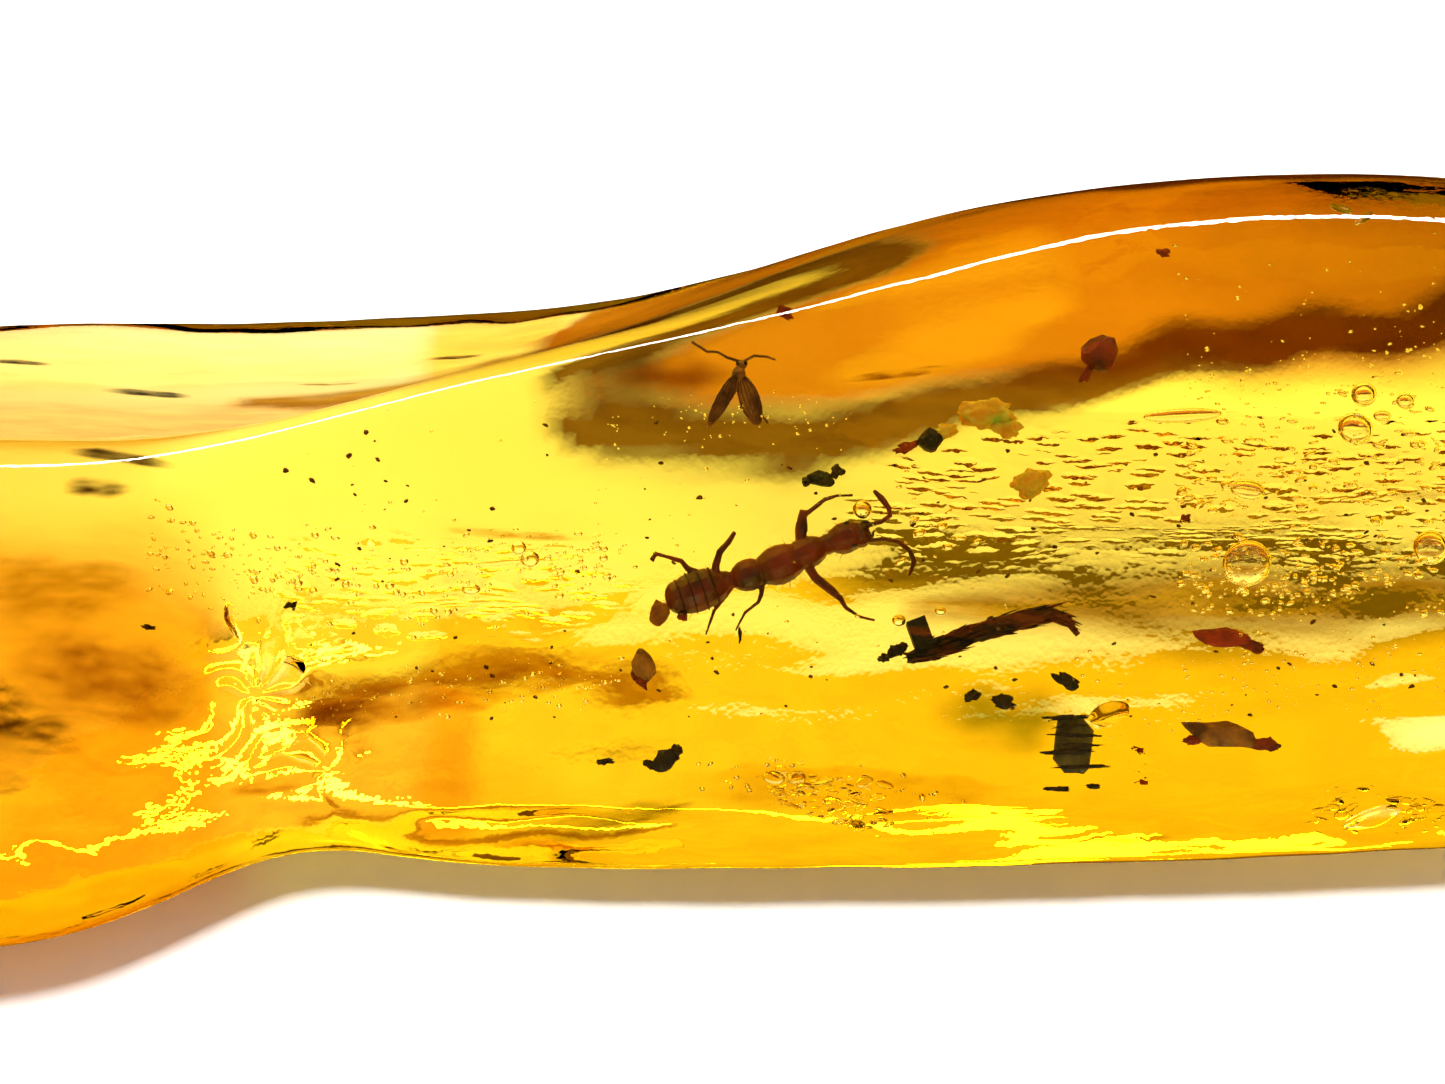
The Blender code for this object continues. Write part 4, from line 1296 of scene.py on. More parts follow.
        def slope(j: int) -> Vector:
            """The curve's direction at one of its points."""
            before, after = max(j - 1, 0), min(j + 1, len(places) - 1)
            return (points[after] - points[before]) / (places[after] - places[before])

        span = places[i + 1] - places[i]
        t = (x - places[i]) / span
        return (
            (2 * t**3 - 3 * t**2 + 1) * points[i]
            + (t**3 - 2 * t**2 + t) * span * slope(i)
            + (3 * t**2 - 2 * t**3) * points[i + 1]
            + (t**3 - t**2) * span * slope(i + 1)
        )

    def section_at(self, x: float) -> list[Vector]:
        """Works out the cage's section at a station, smaller and rounder past the body's ends.

        Args:
            x: The station.

        Returns:
            The section's (x, y, z) points in order.
        """
        inner = max(-self.body_half, min(self.body_half, x))
        past = (abs(x) - abs(inner)) / (self.half_length - self.body_half)
        share = math.sqrt(1 - past**self.end_roundness)
        section = [self.along_rail(knots, inner) for knots in self.rails.values()]
        section += [section[-1].lerp(section[0], s) for s in self.base_shares]
        core = Vector(self.left_core if x < 0 else self.right_core)
        return [Vector((x, *(core + (point - core) * share))) for point in section]

    def cage(self) -> bmesh.types.BMesh:
        """Draws the coarse cage: one ring, extruded from station to station, closed at both ends.

        Returns:
            The cage.
        """
        reach = self.half_length - self.body_half
        ends = [self.body_half + reach * share for share in self.end_shares]
        stations = [-x for x in reversed(ends)] + list(self.stations) + ends
        bm = bmesh.new()
        first = self.section_at(stations[0])
        ring = bmesh.ops.create_circle(bm, cap_ends=True, segments=len(first), radius=1.0)["verts"]
        for vert, point in zip(ring, first):
            vert.co = point
        for x in stations[1:]:
            edges = dict.fromkeys(e for v in ring for e in v.link_edges if e.other_vert(v) in ring)
            grown = bmesh.ops.extrude_edge_only(bm, edges=list(edges))["geom"]
            new = {item for item in grown if isinstance(item, bmesh.types.BMVert)}
            ring = [next(e.other_vert(v) for e in v.link_edges if e.other_vert(v) in new) for v in ring]
            for vert, point in zip(ring, self.section_at(x)):
                vert.co = point
        bmesh.ops.contextual_create(bm, geom=ring)
        bmesh.ops.recalc_face_normals(bm, faces=bm.faces)
        return bm

    def fit_to_solid(self, bm: bmesh.types.BMesh) -> None:
        """Moves and scales the smooth shell by a hair, so that it fills the construction model's box.

        Args:
            bm: The smooth shell.
        """
        corners = [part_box(name) for name in ("copal_upper", "copal_lower")]
        for k in range(3):
            low = min(corner[0][k] for corner in corners) / MM
            high = max(corner[1][k] for corner in corners) / MM
            own_low = min(vert.co[k] for vert in bm.verts)
            own_high = max(vert.co[k] for vert in bm.verts)
            factor = (high - low) / (own_high - own_low)
            for vert in bm.verts:
                vert.co[k] = low + (vert.co[k] - own_low) * factor

    def add_waves(self, bm: bmesh.types.BMesh) -> None:
        """Pushes the skin in along long soft waves, which never reach past the smooth shell.

        Args:
            bm: The smooth shell.
        """
        bm.normal_update()
        for vert in bm.verts:
            place = vert.co
            if place.z < 0.02:
                continue
            wave = noise.noise(Vector((place.x * 0.22, place.y * 0.55, place.z * 0.55)))
            wave += 0.5 * noise.noise(Vector((place.x * 0.7, place.y * 1.5, place.z * 1.5 + 4.0)))
            polished = smooth_step(6.0, 8.2, place.z)
            depth = self.wave_depth * (1.0 - 0.85 * polished)
            vert.co = place - vert.normal * depth * max(0.0, 0.5 + wave)

    def paint_stains_and_light(self, mesh: bpy.types.Mesh) -> None:
        """Writes what the skin lets through, with its stain marks, painted shade and painted light, and how
        streaky it is, on the mesh's vertices.

        Args:
            mesh: The stone's mesh.
        """
        mesh.color_attributes.new(STAIN_AND_LIGHT_LAYER, "FLOAT_COLOR", "POINT")
        mesh.attributes.new(PIT_LAYER, "FLOAT", "POINT")
        layer, pitted = mesh.color_attributes[STAIN_AND_LIGHT_LAYER], mesh.attributes[PIT_LAYER]
        for i, (vert, entry) in enumerate(zip(mesh.vertices, layer.data)):
            colour, streaks = Vector((1.0, 1.0, 1.0)), 0.0
            outside = i < self.shell_points
            if outside:
                pitted.data[i].value = max(pit.weight(vert.co / MM, vert.normal) for pit in self.pits)
            for stain in self.stains_and_painted_light if outside else ():
                weight = stain.weight(vert.co / MM, vert.normal)
                if weight > 0:
                    through = Vector(stain.colour).lerp(Vector((1.0, 1.0, 1.0)), 1.0 - weight)
                    colour = Vector([a * b for a, b in zip(colour, through)])
                    streaks = max(streaks, weight * stain.streaks)
            entry.color = (*colour, streaks)

    def build(self, finish: CopalFinish) -> bpy.types.Object:
        """Makes the clear stone and puts it in place of the two halves.

        Args:
            finish: The clear finish.

        Returns:
            The stone.
        """
        bm = smoothed(self.cage(), self.levels)
        self.fit_to_solid(bm)
        self.add_waves(bm)
        for pucker in self.puckers:
            pucker.press(bm)
        self.shell_points = len(bm.verts)
        LOG.info("carved %d hollows", self.hollows.carve_into(bm))
        stone = piece_from(bm, "copal_clear", finish.build())
        self.paint_stains_and_light(stone.data)
        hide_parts("copal_upper", "copal_lower")
        return stone


@dataclass
class Stage:
    """The pale floor, the soft light and the camera.

    Attributes:
        floor_size: The floor's width.
        floor_gap: The thin gap of air between the floor and the underside, which never quite touch.
        elevation: How steeply the camera looks down, in degrees.
        lens: The camera's focal length.
        sensor: The camera's sensor width.
        view_width: The width of what the picture shows at the target.
        target: The point that the camera looks at.
        back_sky: The brightness of the surroundings behind the nugget, as (height, strength), from 0 at the
            horizon to 1 overhead. It is bright near the horizon and dim above, so the top reflects little.
        front_sky: The brightness of the surroundings in front, in the same way.
        panel: Where the steep soft panel behind the nugget hangs, which throws the short shadow in front.
        panel_size: The panel's width and height.
        panel_power: Its power in watts.
        strip: Where the long lamp behind the nugget hangs, which draws the highlight along the crest.
        strip_size: The strip's width and height.
        strip_power: Its power in watts.
        bounces: How many faces of the stone and its bubbles light may pass or bounce off.
    """

    floor_size: float = 2000.0
    floor_gap: float = 0.1
    elevation: float = 50.0
    lens: float = 100.0
    sensor: float = 36.0
    view_width: float = 30.0
    target: Place = (0.0, -0.551, 5.0)
    back_sky: tuple[tuple[float, float], ...] = ((0.0, 1.8), (0.76, 1.8), (0.84, 0.3), (1.0, 0.2))
    front_sky: tuple[tuple[float, float], ...] = ((0.0, 0.45), (0.5, 0.45), (0.8, 0.2), (1.0, 0.1))
    panel: Place = (-30.0, -12.0, 420.0)
    panel_size: tuple[float, float] = (90.0, 60.0)
    panel_power: float = 2.4
    strip: Place = (0.0, 400.0, 220.0)
    strip_size: tuple[float, float] = (900.0, 20.0)
    strip_power: float = 2.2
    bounces: int = 11

    def floor(self) -> bpy.types.Object:
        """Lays the pale floor.

        Returns:
            The floor.
        """
        bm = bmesh.new()
        bmesh.ops.create_grid(bm, x_segments=2, y_segments=2, size=self.floor_size / 2)
        bmesh.ops.translate(bm, vec=(0, 0, -self.floor_gap), verts=bm.verts)
        bmesh.ops.scale(bm, vec=(MM, MM, MM), verts=bm.verts)
        mesh = bpy.data.meshes.new("floor")
        bm.to_mesh(mesh)
        bm.free()
        mesh.materials.append(FloorFinish().build())
        obj = bpy.data.objects.new("floor", mesh)
        bpy.context.scene.collection.objects.link(obj)
        obj.visible_glossy = False
        return obj

    @staticmethod
    def by_height(
        nodes: Nodes, height: bpy.types.NodeSocket, steps: Sequence[tuple[float, float]]
    ) -> bpy.types.NodeSocket:
        """Turns a direction's height into a brightness.

        Args:
            nodes: The world's nodes.
            height: The socket that holds the direction's height.
            steps: The (height, brightness) points that the brightness runs through.

        Returns:
            The socket that holds the brightness.
        """
        total = None
        for (low, start), (high, end) in zip(steps, steps[1:]):
            if total is None:
                total = nodes.spread(height, low, high, start, end)
            elif start != end:
                total = nodes.maths("ADD", total, nodes.spread(height, low, high, 0.0, end - start))
        return total

    def surroundings(self) -> None:
        """Makes the white surroundings, one sky in front and one behind, kept off the skin's mirror."""
        world = bpy.data.worlds.new("white_room")
        bpy.context.scene.world = world
        world.use_nodes = True
        nodes = Nodes(world.node_tree)
        background = world.node_tree.nodes["Background"]
        background.inputs["Color"].default_value = (1.0, 1.0, 1.0, 1.0)
        coordinates = nodes.add("TexCoord")
        direction = coordinates.outputs["Generated"]
        parts = nodes.add("SeparateXYZ")
        nodes.join(direction, parts.inputs["Vector"])
        behind = nodes.spread(parts.outputs["Y"], -0.15, 0.15)
        back = self.by_height(nodes, parts.outputs["Z"], self.back_sky)
        front = self.by_height(nodes, parts.outputs["Z"], self.front_sky)
        sky = nodes.add("Mix", data_type="FLOAT")
        for socket, name in ((behind, 0), (front, 2), (back, 3)):
            nodes.join(socket, sky.inputs[name])
        nodes.join(sky.outputs[0], background.inputs["Strength"])
        world.cycles_visibility.glossy = False

    def lamp(self, name: str, place: Place, size: tuple[float, float], power: float) -> bpy.types.Object:
        """Hangs a soft lamp that faces the nugget.

        Args:
            name: The lamp's name.
            place: Where it hangs.
            size: Its width and height.
            power: Its power in watts.

        Returns:
            The lamp.
        """
        light = bpy.data.lights.new(name, "AREA")
        light.shape = "RECTANGLE"
        light.size = size[0] * MM
        light.size_y = size[1] * MM
        light.energy = power
        obj = bpy.data.objects.new(name, light)
        bpy.context.scene.collection.objects.link(obj)
        obj.location = Vector(place) * MM
        obj.rotation_euler = (-Vector(place)).to_track_quat("-Z", "Y").to_euler()
        return obj

    def camera(self) -> bpy.types.Object:
        """Sets the camera at the photograph's angle.

        Returns:
            The camera.
        """
        data = bpy.data.cameras.new("camera")
        data.lens = self.lens
        data.sensor_width = self.sensor
        data.clip_start = MM
        obj = bpy.data.objects.new("camera", data)
        bpy.context.scene.collection.objects.link(obj)
        tilt = math.radians(self.elevation)
        back = Vector((0, -math.cos(tilt), math.sin(tilt)))
        obj.location = (Vector(self.target) + back * (self.lens / self.sensor * self.view_width)) * MM
        obj.rotation_euler = (-back).to_track_quat("-Z", "Y").to_euler()
        bpy.context.scene.camera = obj
        return obj

    def build(self) -> None:
        """Sets the whole stage, and lets light pass through the many faces of the bubbles."""
        self.floor()
        self.surroundings()
        self.lamp("back_strip", self.strip, self.strip_size, self.strip_power)
        panel = self.lamp("steep_panel", self.panel, self.panel_size, self.panel_power)
        panel.visible_glossy = False
        panel.visible_transmission = False
        self.camera()
        cycles = bpy.context.scene.cycles
        cycles.max_bounces = self.bounces
        cycles.transmission_bounces = self.bounces
        cycles.glossy_bounces = self.bounces // 2
        cycles.diffuse_bounces = 2
        bpy.context.scene.view_settings.view_transform = "Standard"


ANT_SKIN = OpaqueFinish(
    "ant_skin", (0.27, 0.022, 0.006), (0.05, 0.006, 0.003), 1600.0, 3.0, (0.30, 0.45), 0.000012, coat=0.2
)
GNAT_SKIN = OpaqueFinish("gnat_skin", (0.50, 0.20, 0.04), (0.12, 0.03, 0.006), 3000.0, 3.0, (0.3, 0.5),
                         0.000008)
BARK_SKIN = OpaqueFinish(
    "bark_skin", (0.24, 0.06, 0.015), (0.012, 0.006, 0.004), 3400.0, 6.0, (0.6, 0.9), 0.00008, Grain.ALONG
)


@dataclass
class SealedThings:
    """The construction model's own sealed things, which keep their shapes and get finer finishes."""

    finishes: dict[str, OpaqueFinish] = field(
        default_factory=lambda: {
            "ant": ANT_SKIN,
            "gnat": GNAT_SKIN,
            "bark_splinter": BARK_SKIN,
            "brown_flake": OpaqueFinish("brown_flake_skin", (0.62, 0.22, 0.03), (0.26, 0.07, 0.01)),
            "black_speck": OpaqueFinish("black_speck_skin", (0.07, 0.06, 0.025), (0.012, 0.012, 0.006)),
            "black_grain": OpaqueFinish("black_grain_skin", (0.09, 0.045, 0.015), (0.015, 0.009, 0.004)),
            "dark_red_grain": OpaqueFinish("dark_red_skin", (0.36, 0.04, 0.012), (0.10, 0.010, 0.004)),
            "red_chip": OpaqueFinish("red_chip_skin", (0.55, 0.055, 0.016), (0.20, 0.016, 0.006)),
            "brown_chip": OpaqueFinish("brown_chip_skin", (0.60, 0.25, 0.03), (0.14, 0.05, 0.01)),
            "leaf_scrap": OpaqueFinish("leaf_skin", (0.26, 0.22, 0.06), (0.05, 0.042, 0.014)),
            "twig_stub": OpaqueFinish("twig_skin", (0.60, 0.26, 0.04), (0.22, 0.08, 0.012)),
            "black_flake": OpaqueFinish("black_flake_skin", (0.07, 0.04, 0.02), (0.012, 0.008, 0.005)),
        }
    )

    def round_off(self, name: str, voxel: float) -> None:
        """Melts a faceted animal's parts into one smooth skin by modifiers, without touching its mesh.

        Args:
            name: The node.
            voxel: The fineness of the skin, in millimetres.
        """
        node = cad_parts[name]
        melt = node.modifiers.new("melt", "REMESH")
        melt.mode = "VOXEL"
        melt.voxel_size = voxel * MM
        melt.use_smooth_shade = True
        relax = node.modifiers.new("relax", "SMOOTH")
        relax.factor = 0.5
        relax.iterations = 3

    def dress(self) -> None:
        """Gives each sealed thing its finish, and smooths the ant."""
        self.round_off("ant", 0.022)
        for name, finish in self.finishes.items():
            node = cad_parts[name]
            material = finish.build()
            for slot in node.material_slots:
                slot.material = material
            LOG.info("finished node %s", name)


@dataclass
class AntDressing:
    """The ant's small parts: its eyes, jaws, belly rings and short hairs.

    Attributes:
        place: Where the ant's middle lies on the plane, as (a, b).
        reading: How much its drawn sizes are shrunk along a and b.
        turn: Which way it heads in the plane, in degrees.
        head: The head's middle and half sizes, from the ant's middle.
        belly: The belly's middle and half sizes.
        trunk: The middles and half sizes of the parts between, which only carry hairs.
        rings: The places of the belly's rings, as shares of its half length.
        hairs: How many hairs each part carries.
        seed: Where the chance of the hairs starts.
    """

    place: tuple[float, float] = (0.75, 0.42)
    reading: tuple[float, float] = (0.98, 0.96)
    turn: float = 19.0
    head: tuple[Place, Place] = ((1.80, 0.78, 0.0), (0.42, 0.31, 0.27))
    belly: tuple[Place, Place] = ((-1.30, -0.34, 0.0), (0.70, 0.43, 0.38))
    trunk: tuple[tuple[Place, Place], ...] = (
        ((0.98, 0.46, 0.05), (0.46, 0.31, 0.30)), ((0.42, 0.22, 0.06), (0.56, 0.39, 0.35)),
    )
    rings: tuple[float, ...] = (-0.55, -0.2, 0.15, 0.5)
    hairs: int = 34
    seed: int = 5

    def frame_of(self, middle: Place) -> Matrix:
        """Gives the frame of a body part: its first axis heads forward, its third away from the plane."""
        a, b = self.place[0] + middle[0] * self.reading[0], self.place[1] + middle[1] * self.reading[1]
        return PLANE @ Matrix.Translation((a, b, middle[2])) @ Matrix.Rotation(math.radians(self.turn), 4,
                                                                               "Z")

    def eyes(self) -> bmesh.types.BMesh:
        """Draws the two eyes, set into the sides of the head.

        Returns:
            The eyes.
        """
        bm = bmesh.new()
        frame_at = self.frame_of(self.head[0])
        for side in (-1, 1):
            spot = frame_at @ Matrix.Translation((0.10, side * 0.235, 0.13))
            lump(bm, spot, (0.075, 0.045, 0.055), 0.08, 3, 2.0 + side)
        return bm

    def jaws(self) -> bmesh.types.BMesh:
        """Draws the two curved jaws in front of the head, each with two teeth.

        Returns:
            The jaws.
        """
        bm = bmesh.new()
        frame_at = self.frame_of(self.head[0])
        for side in (-1, 1):
            points = [(0.36, 0.15, 0.0), (0.46, 0.17, 0.0), (0.55, 0.12, 0.0), (0.60, 0.03, 0.0)]
            path = [frame_at @ Vector((x, side * y, z - 0.04)) for x, y, z in points]
            tube(bm, path, (0.05, 0.045, 0.032, 0.008), 8)
            for root in (0.50, 0.56):
                tooth = [frame_at @ Vector((root, side * 0.13, -0.04)),
                         frame_at @ Vector((root + 0.02, side * 0.06, -0.04))]
                tube(bm, tooth, (0.018, 0.004), 6)
        return bm

    def belly_rings(self) -> bmesh.types.BMesh:
        """Draws the raised hind edges of the belly's plates as thin rings.

        Returns:
            The rings.
        """
        bm = bmesh.new()
        middle, halves = self.belly
        frame_at = self.frame_of(middle)
        for share in self.rings:
            reach = math.sqrt(1 - share * share)
            path = []
            for step in range(33):
                angle = math.radians(step * 11.25)
                spot = (share * halves[0], math.cos(angle) * halves[1] * reach,
                        math.sin(angle) * halves[2] * reach)
                path.append(frame_at @ Vector(spot))
            tube(bm, path, [0.014] * len(path), 6)
        return bm

    def coat(self) -> bmesh.types.BMesh:
        """Draws the short hairs on the belly, trunk and head.

        Returns:
            The hairs.
        """
        bm = bmesh.new()
        chance = random.Random(self.seed)
        for middle, halves in (self.belly, *self.trunk, self.head):
            frame_at = self.frame_of(middle)
            for _ in range(self.hairs):
                way = Vector((chance.gauss(0, 1), chance.gauss(0, 1), chance.gauss(0, 1))).normalized()
                root = Vector([axis * half for axis, half in zip(way, halves)])
                lean = (way + Vector((-0.7, 0, 0))).normalized() * chance.uniform(0.07, 0.14)
                path = [frame_at @ (root * 0.97), frame_at @ (root + lean * 0.5),
                        frame_at @ (root + lean + way * 0.02)]
                tube(bm, path, (0.006, 0.004, 0.0015), 3)
        return bm

    def build(self) -> list[bpy.types.Object]:
        """Makes the ant's small parts.

        Returns:
            The pieces.
        """
        dark = OpaqueFinish("ant_dark_parts", (0.05, 0.010, 0.006), (0.010, 0.004, 0.003), 6000.0, 2.0,
                            (0.15, 0.3),
                            0.000004, coat=0.6).build()
        edge = OpaqueFinish("ant_plate_edges", (0.10, 0.012, 0.005), (0.020, 0.004, 0.002), 4000.0,
                            2.0).build()
        hair = OpaqueFinish("ant_hairs", (0.30, 0.12, 0.03), (0.12, 0.04, 0.01), 9000.0, 2.0).build()
        return [
            piece_from(self.eyes(), "ant_eyes", dark),
            piece_from(self.jaws(), "ant_jaws", dark),
            piece_from(self.belly_rings(), "ant_belly_rings", edge),
            piece_from(self.coat(), "ant_hairs", hair),
        ]


@dataclass
class GnatDressing:
    """The gnat's small parts: its eyes and the veins of its wings.

    Attributes:
        place: Where the gnat's middle lies on the plane, as (a, b).
        wings: Each wing's root and tip, width and height over the plane, from the gnat's middle.
        half_thickness: Half of a wing's thickness.
    """

    place: tuple[float, float] = (0.39, 4.30)
    wings: tuple[tuple[tuple[float, float], tuple[float, float], float, float], ...] = (
        ((-0.06, 0.02), (-0.66, -1.00), 0.30, 0.14), ((0.02, 0.00), (0.36, -0.98), 0.44, 0.10),
    )
    half_thickness: float = 0.03

    def veins(self) -> bmesh.types.BMesh:
        """Draws the veins that fan out over each wing, and its two edges.

        Returns:
            The veins.
        """
        bm = bmesh.new()
        for root, tip, width, height in self.wings:
            start, end = Vector(root), Vector(tip)
            run = end - start
            side = Vector((-run.y, run.x)).normalized()
            for lane in (-0.92, -0.5, -0.1, 0.3, 0.68, 0.92):
                path = []
                for step in range(9):
                    share = 0.04 + 0.9 * step / 8
                    bulge = math.sin(math.pi * share) ** 0.7 * width / 2 * lane
                    spot = start + run * share + side * bulge
                    rise = self.half_thickness * math.sqrt(max(0.0, 1 - lane * lane)) + 0.004
                    path.append(on_plane(self.place[0] + spot.x, self.place[1] + spot.y, height + rise))
                tube(bm, path, [0.011 - 0.0008 * step for step in range(9)], 5)
        return bm

    def eyes(self) -> bmesh.types.BMesh:
        """Draws the gnat's two round eyes.

        Returns:
            The eyes.
        """
        bm = bmesh.new()
        for side in (-1, 1):
            middle = on_plane(self.place[0] + 0.04 + side * 0.075, self.place[1] + 0.22, 0.04)
            lump(bm, Matrix.Translation(middle) @ PLANE.to_3x3().to_4x4(), (0.05, 0.05, 0.05), 0.06, 3,
                 4.0 + side)
        return bm

    def build(self) -> list[bpy.types.Object]:
        """Makes the gnat's small parts.

        Returns:
            The pieces.
        """
        dark = OpaqueFinish("gnat_dark_parts", (0.06, 0.02, 0.008), (0.015, 0.006, 0.004), 6000.0,
                            2.0).build()
        vein = OpaqueFinish("gnat_veins", (0.16, 0.05, 0.012), (0.05, 0.015, 0.005), 6000.0, 2.0).build()
        return [
            piece_from(self.eyes(), "gnat_eyes", dark),
            piece_from(self.veins(), "gnat_wing_veins", vein),
        ]


@dataclass
class Crumbs:
    """The loose matter round the insects: amber chips, red crumbs, dark specks and bark fibres.

    Attributes:
        chips: The amber chips, as place (a, b, c), half sizes and turn in degrees.
        reds: The red crumbs, in the same way.
        darks: The dark specks that the photograph shows one by one, in the same way.
        dust: How many more tiny specks are strewn about.
        bark_line: The course of the bark splinter, as (a, b, radius), that its fibres lie along.
        seed: Where the chance starts.
        fibre_count: How many fibres stand off the bark.
    """

    chips: tuple[tuple[Place, Place, float], ...] = (
        ((5.42, 3.60, 0.05), (0.55, 0.24, 0.10), 4.0), ((5.80, 3.40, 0.0), (0.34, 0.20, 0.10), -16.0),
        ((4.62, 3.26, 0.05), (0.22, 0.13, 0.08), 10.0), ((6.34, 2.26, 0.0), (0.36, 0.26, 0.09), 18.0),
    )
    reds: tuple[tuple[Place, Place, float], ...] = (
        ((1.39, 5.50, 0.0), (0.12, 0.14, 0.06), 60.0), ((9.50, 1.60, 0.0), (0.10, 0.08, 0.06), 20.0),
        ((3.80, 2.95, 0.0), (0.24, 0.09, 0.06), 20.0), ((7.55, 4.42, 0.05), (0.20, 0.10, 0.08), 60.0),
        ((9.30, 6.90, -0.6), (0.08, 0.12, 0.05), 80.0), ((-1.70, -1.62, 0.0), (0.22, 0.12, 0.07), -60.0),
        ((11.10, -3.05, 0.0), (0.26, 0.11, 0.08), -8.0), ((9.62, -2.95, 0.0), (0.20, 0.08, 0.06), 4.0),
        ((10.86, -1.02, 0.0), (0.24, 0.10, 0.07), -18.0), ((-0.82, -0.42, 0.0), (0.10, 0.07, 0.05), 0.0),
    )
    darks: tuple[tuple[Place, Place, float], ...] = (
        ((-2.40, -3.38, 0.0), (0.17, 0.05, 0.04), 4.0), ((-9.01, -0.21, 0.0), (0.13, 0.06, 0.05), 14.0),
        ((-12.0, -0.84, 0.0), (0.12, 0.04, 0.04), 0.0), ((0.34, -0.79, 0.0), (0.03, 0.16, 0.03), 0.0),
        ((2.35, 2.42, 0.1), (0.12, 0.10, 0.07), 30.0), ((1.72, 2.24, 0.1), (0.09, 0.08, 0.06), 0.0),
        ((5.10, -2.05, 0.0), (0.16, 0.09, 0.05), 10.0), ((5.75, -2.18, 0.0), (0.22, 0.12, 0.05), -14.0),
        ((7.05, -1.75, 0.0), (0.26, 0.12, 0.06), -30.0), ((6.85, -3.95, 0.0), (0.24, 0.05, 0.03), 0.0),
        ((7.55, -3.90, 0.0), (0.14, 0.05, 0.03), 6.0), ((-0.96, -3.18, 0.0), (0.14, 0.12, 0.07), 30.0),
        ((-1.45, -3.44, 0.0), (0.16, 0.07, 0.06), -20.0), ((3.55, -1.12, 0.0), (0.22, 0.12, 0.08), 30.0),
        ((3.30, -1.30, 0.1), (0.12, 0.07, 0.05), 0.0), ((7.00, -2.52, 0.10), (0.42, 0.05, 0.03), 2.0),
        ((7.25, -2.88, 0.12), (0.46, 0.04, 0.03), -3.0), ((7.05, -3.22, 0.12), (0.44, 0.05, 0.03), 3.0),
        ((7.35, -3.52, 0.10), (0.50, 0.04, 0.03), 0.0), ((7.10, -2.70, 0.14), (0.30, 0.03, 0.02), 4.0),
        ((7.30, -3.08, 0.14), (0.36, 0.03, 0.02), -2.0),
    )
    dust: int = 150
    bark_line: tuple[Place, ...] = (
        (3.76, -1.27, 0.10), (4.29, -1.10, 0.18), (4.84, -0.91, 0.17), (5.57, -0.64, 0.20),
        (6.16, -0.48, 0.19),
        (6.72, -0.37, 0.14), (7.04, -0.51, 0.10), (7.26, -0.81, 0.06),
    )
    seed: int = 23
    fibre_count: int = 110

    def lumps(self, parts: Iterable[tuple[Place, Place, float]], rough: float,
              fineness: int) -> bmesh.types.BMesh:
        """Draws uneven flat lumps at the listed places.

        Args:
            parts: Each lump's place, half sizes and turn.
            rough: How uneven they are.
            fineness: How finely they are divided.

        Returns:
            The lumps.
        """
        bm = bmesh.new()
        for i, (place, halves, turn) in enumerate(parts):
            frame_at = PLANE @ Matrix.Translation(place) @ Matrix.Rotation(math.radians(turn), 4, "Z")
            lump(bm, frame_at, halves, rough, fineness, 3.7 * i + 1.3)
        return bm

    def strewn(self) -> list[tuple[Place, Place, float]]:
        """Picks the places of the tiny specks, all at the insects' own depth.

        Returns:
            Each speck's place, half sizes and turn.
        """
        chance = random.Random(self.seed)
        found = []
        for _ in range(self.dust):
            size = chance.uniform(0.015, 0.045)
            place = (chance.uniform(-9.0, 14.5), chance.uniform(-2.6, 3.4), chance.uniform(-0.5, 0.4))
            found.append((place, (size * chance.uniform(1, 2.2), size, size * 0.7),
                          chance.uniform(-40, 40)))
        return found

    def fibres(self) -> bmesh.types.BMesh:
        """Draws loose fibres and splints that stand off the bark splinter.

        Returns:
            The fibres.
        """
        bm = bmesh.new()
        chance = random.Random(self.seed + 1)
        for _ in range(self.fibre_count):
            at = chance.uniform(0, len(self.bark_line) - 2.2)
            start, end = Vector(self.bark_line[int(at)]), Vector(self.bark_line[int(at) + 1])
            spot = start.lerp(end, at - int(at))
            run = (end - start).normalized()
            angle = chance.uniform(0, math.tau)
            sideways = Vector((-run.y, run.x, 0)) * math.cos(angle) * spot.z
            off = sideways + Vector((0, 0, 1)) * math.sin(angle) * spot.z
            length, spread = chance.uniform(0.15, 0.7), chance.uniform(0.0, 0.22)
            path = []
            for step in range(5):
                share = step / 4
                ahead = Vector((run.x, run.y, 0)) * length * (share - 0.3)
                path.append(on_plane(*(Vector((spot.x, spot.y,
                                               0)) + off * (0.93 + spread * share * 3) + ahead)))
            thick = chance.uniform(0.015, 0.05)
            tube(bm, path, [thick * k for k in (0.4, 1.0, 0.9, 0.6, 0.15)], 5)
        return bm

    def build(self) -> list[bpy.types.Object]:
        """Makes the crumbs.

        Returns:
            The pieces.
        """
        amber = OpaqueFinish("amber_chips", (1.0, 0.78, 0.10), (0.95, 0.50, 0.02), 2200.0, 3.0, (0.2, 0.4),
                             0.00002,
                             subsurface=0.8).build()
        red = OpaqueFinish("red_crumbs", (0.50, 0.06, 0.008), (0.16, 0.02, 0.004), 4000.0, 3.0).build()
        dark = OpaqueFinish("dark_specks", (0.08, 0.045, 0.012), (0.015, 0.010, 0.004), 4000.0, 3.0).build()
        dust = OpaqueFinish("dust", (0.30, 0.12, 0.02), (0.08, 0.03, 0.008), 5000.0, 3.0).build()
        return [
            piece_from(self.lumps(self.chips, 0.5, 4), "amber_chips", amber),
            piece_from(self.lumps(self.reds, 0.7, 3), "red_crumbs", red),
            piece_from(self.lumps(self.darks, 0.8, 3), "dark_specks", dark),
            piece_from(self.lumps(self.strewn(), 0.6, 1), "dust", dust),
            piece_from(self.fibres(), "bark_fibres", BARK_SKIN.build()),
        ]


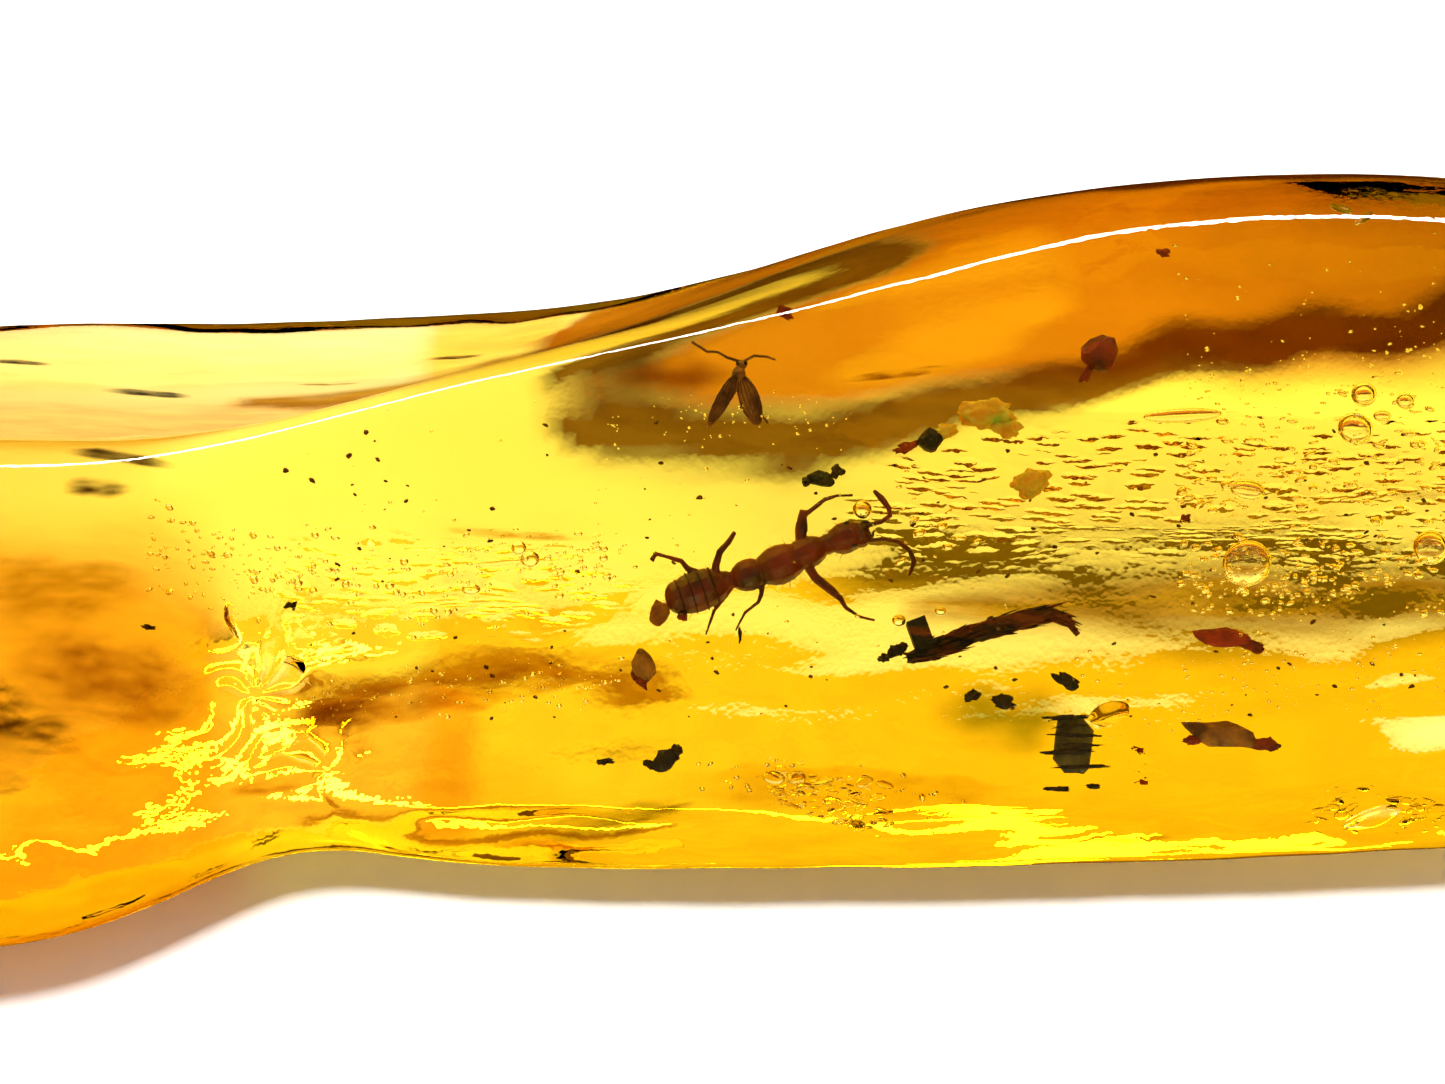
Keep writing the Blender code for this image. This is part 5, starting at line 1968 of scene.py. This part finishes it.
def main() -> None:
    """Builds the stone, what is sealed in it and the stage, and reports each piece."""
    logging.basicConfig(level=logging.INFO, format="%(message)s")
    stone = CopalStone().build(CopalFinish())
    LOG.info("made %s with %d faces", stone.name, len(stone.data.polygons))
    seam_finish = SeamFinish().build()
    for seam in SEAMS:
        LOG.info("made %s", seam.build(seam_finish).name)
    SealedThings().dress()
    for piece in (*AntDressing().build(), *GnatDressing().build(), *Crumbs().build()):
        LOG.info("made %s with %d faces", piece.name, len(piece.data.polygons))
    Stage().build()


if __name__ == "__main__":
    main()
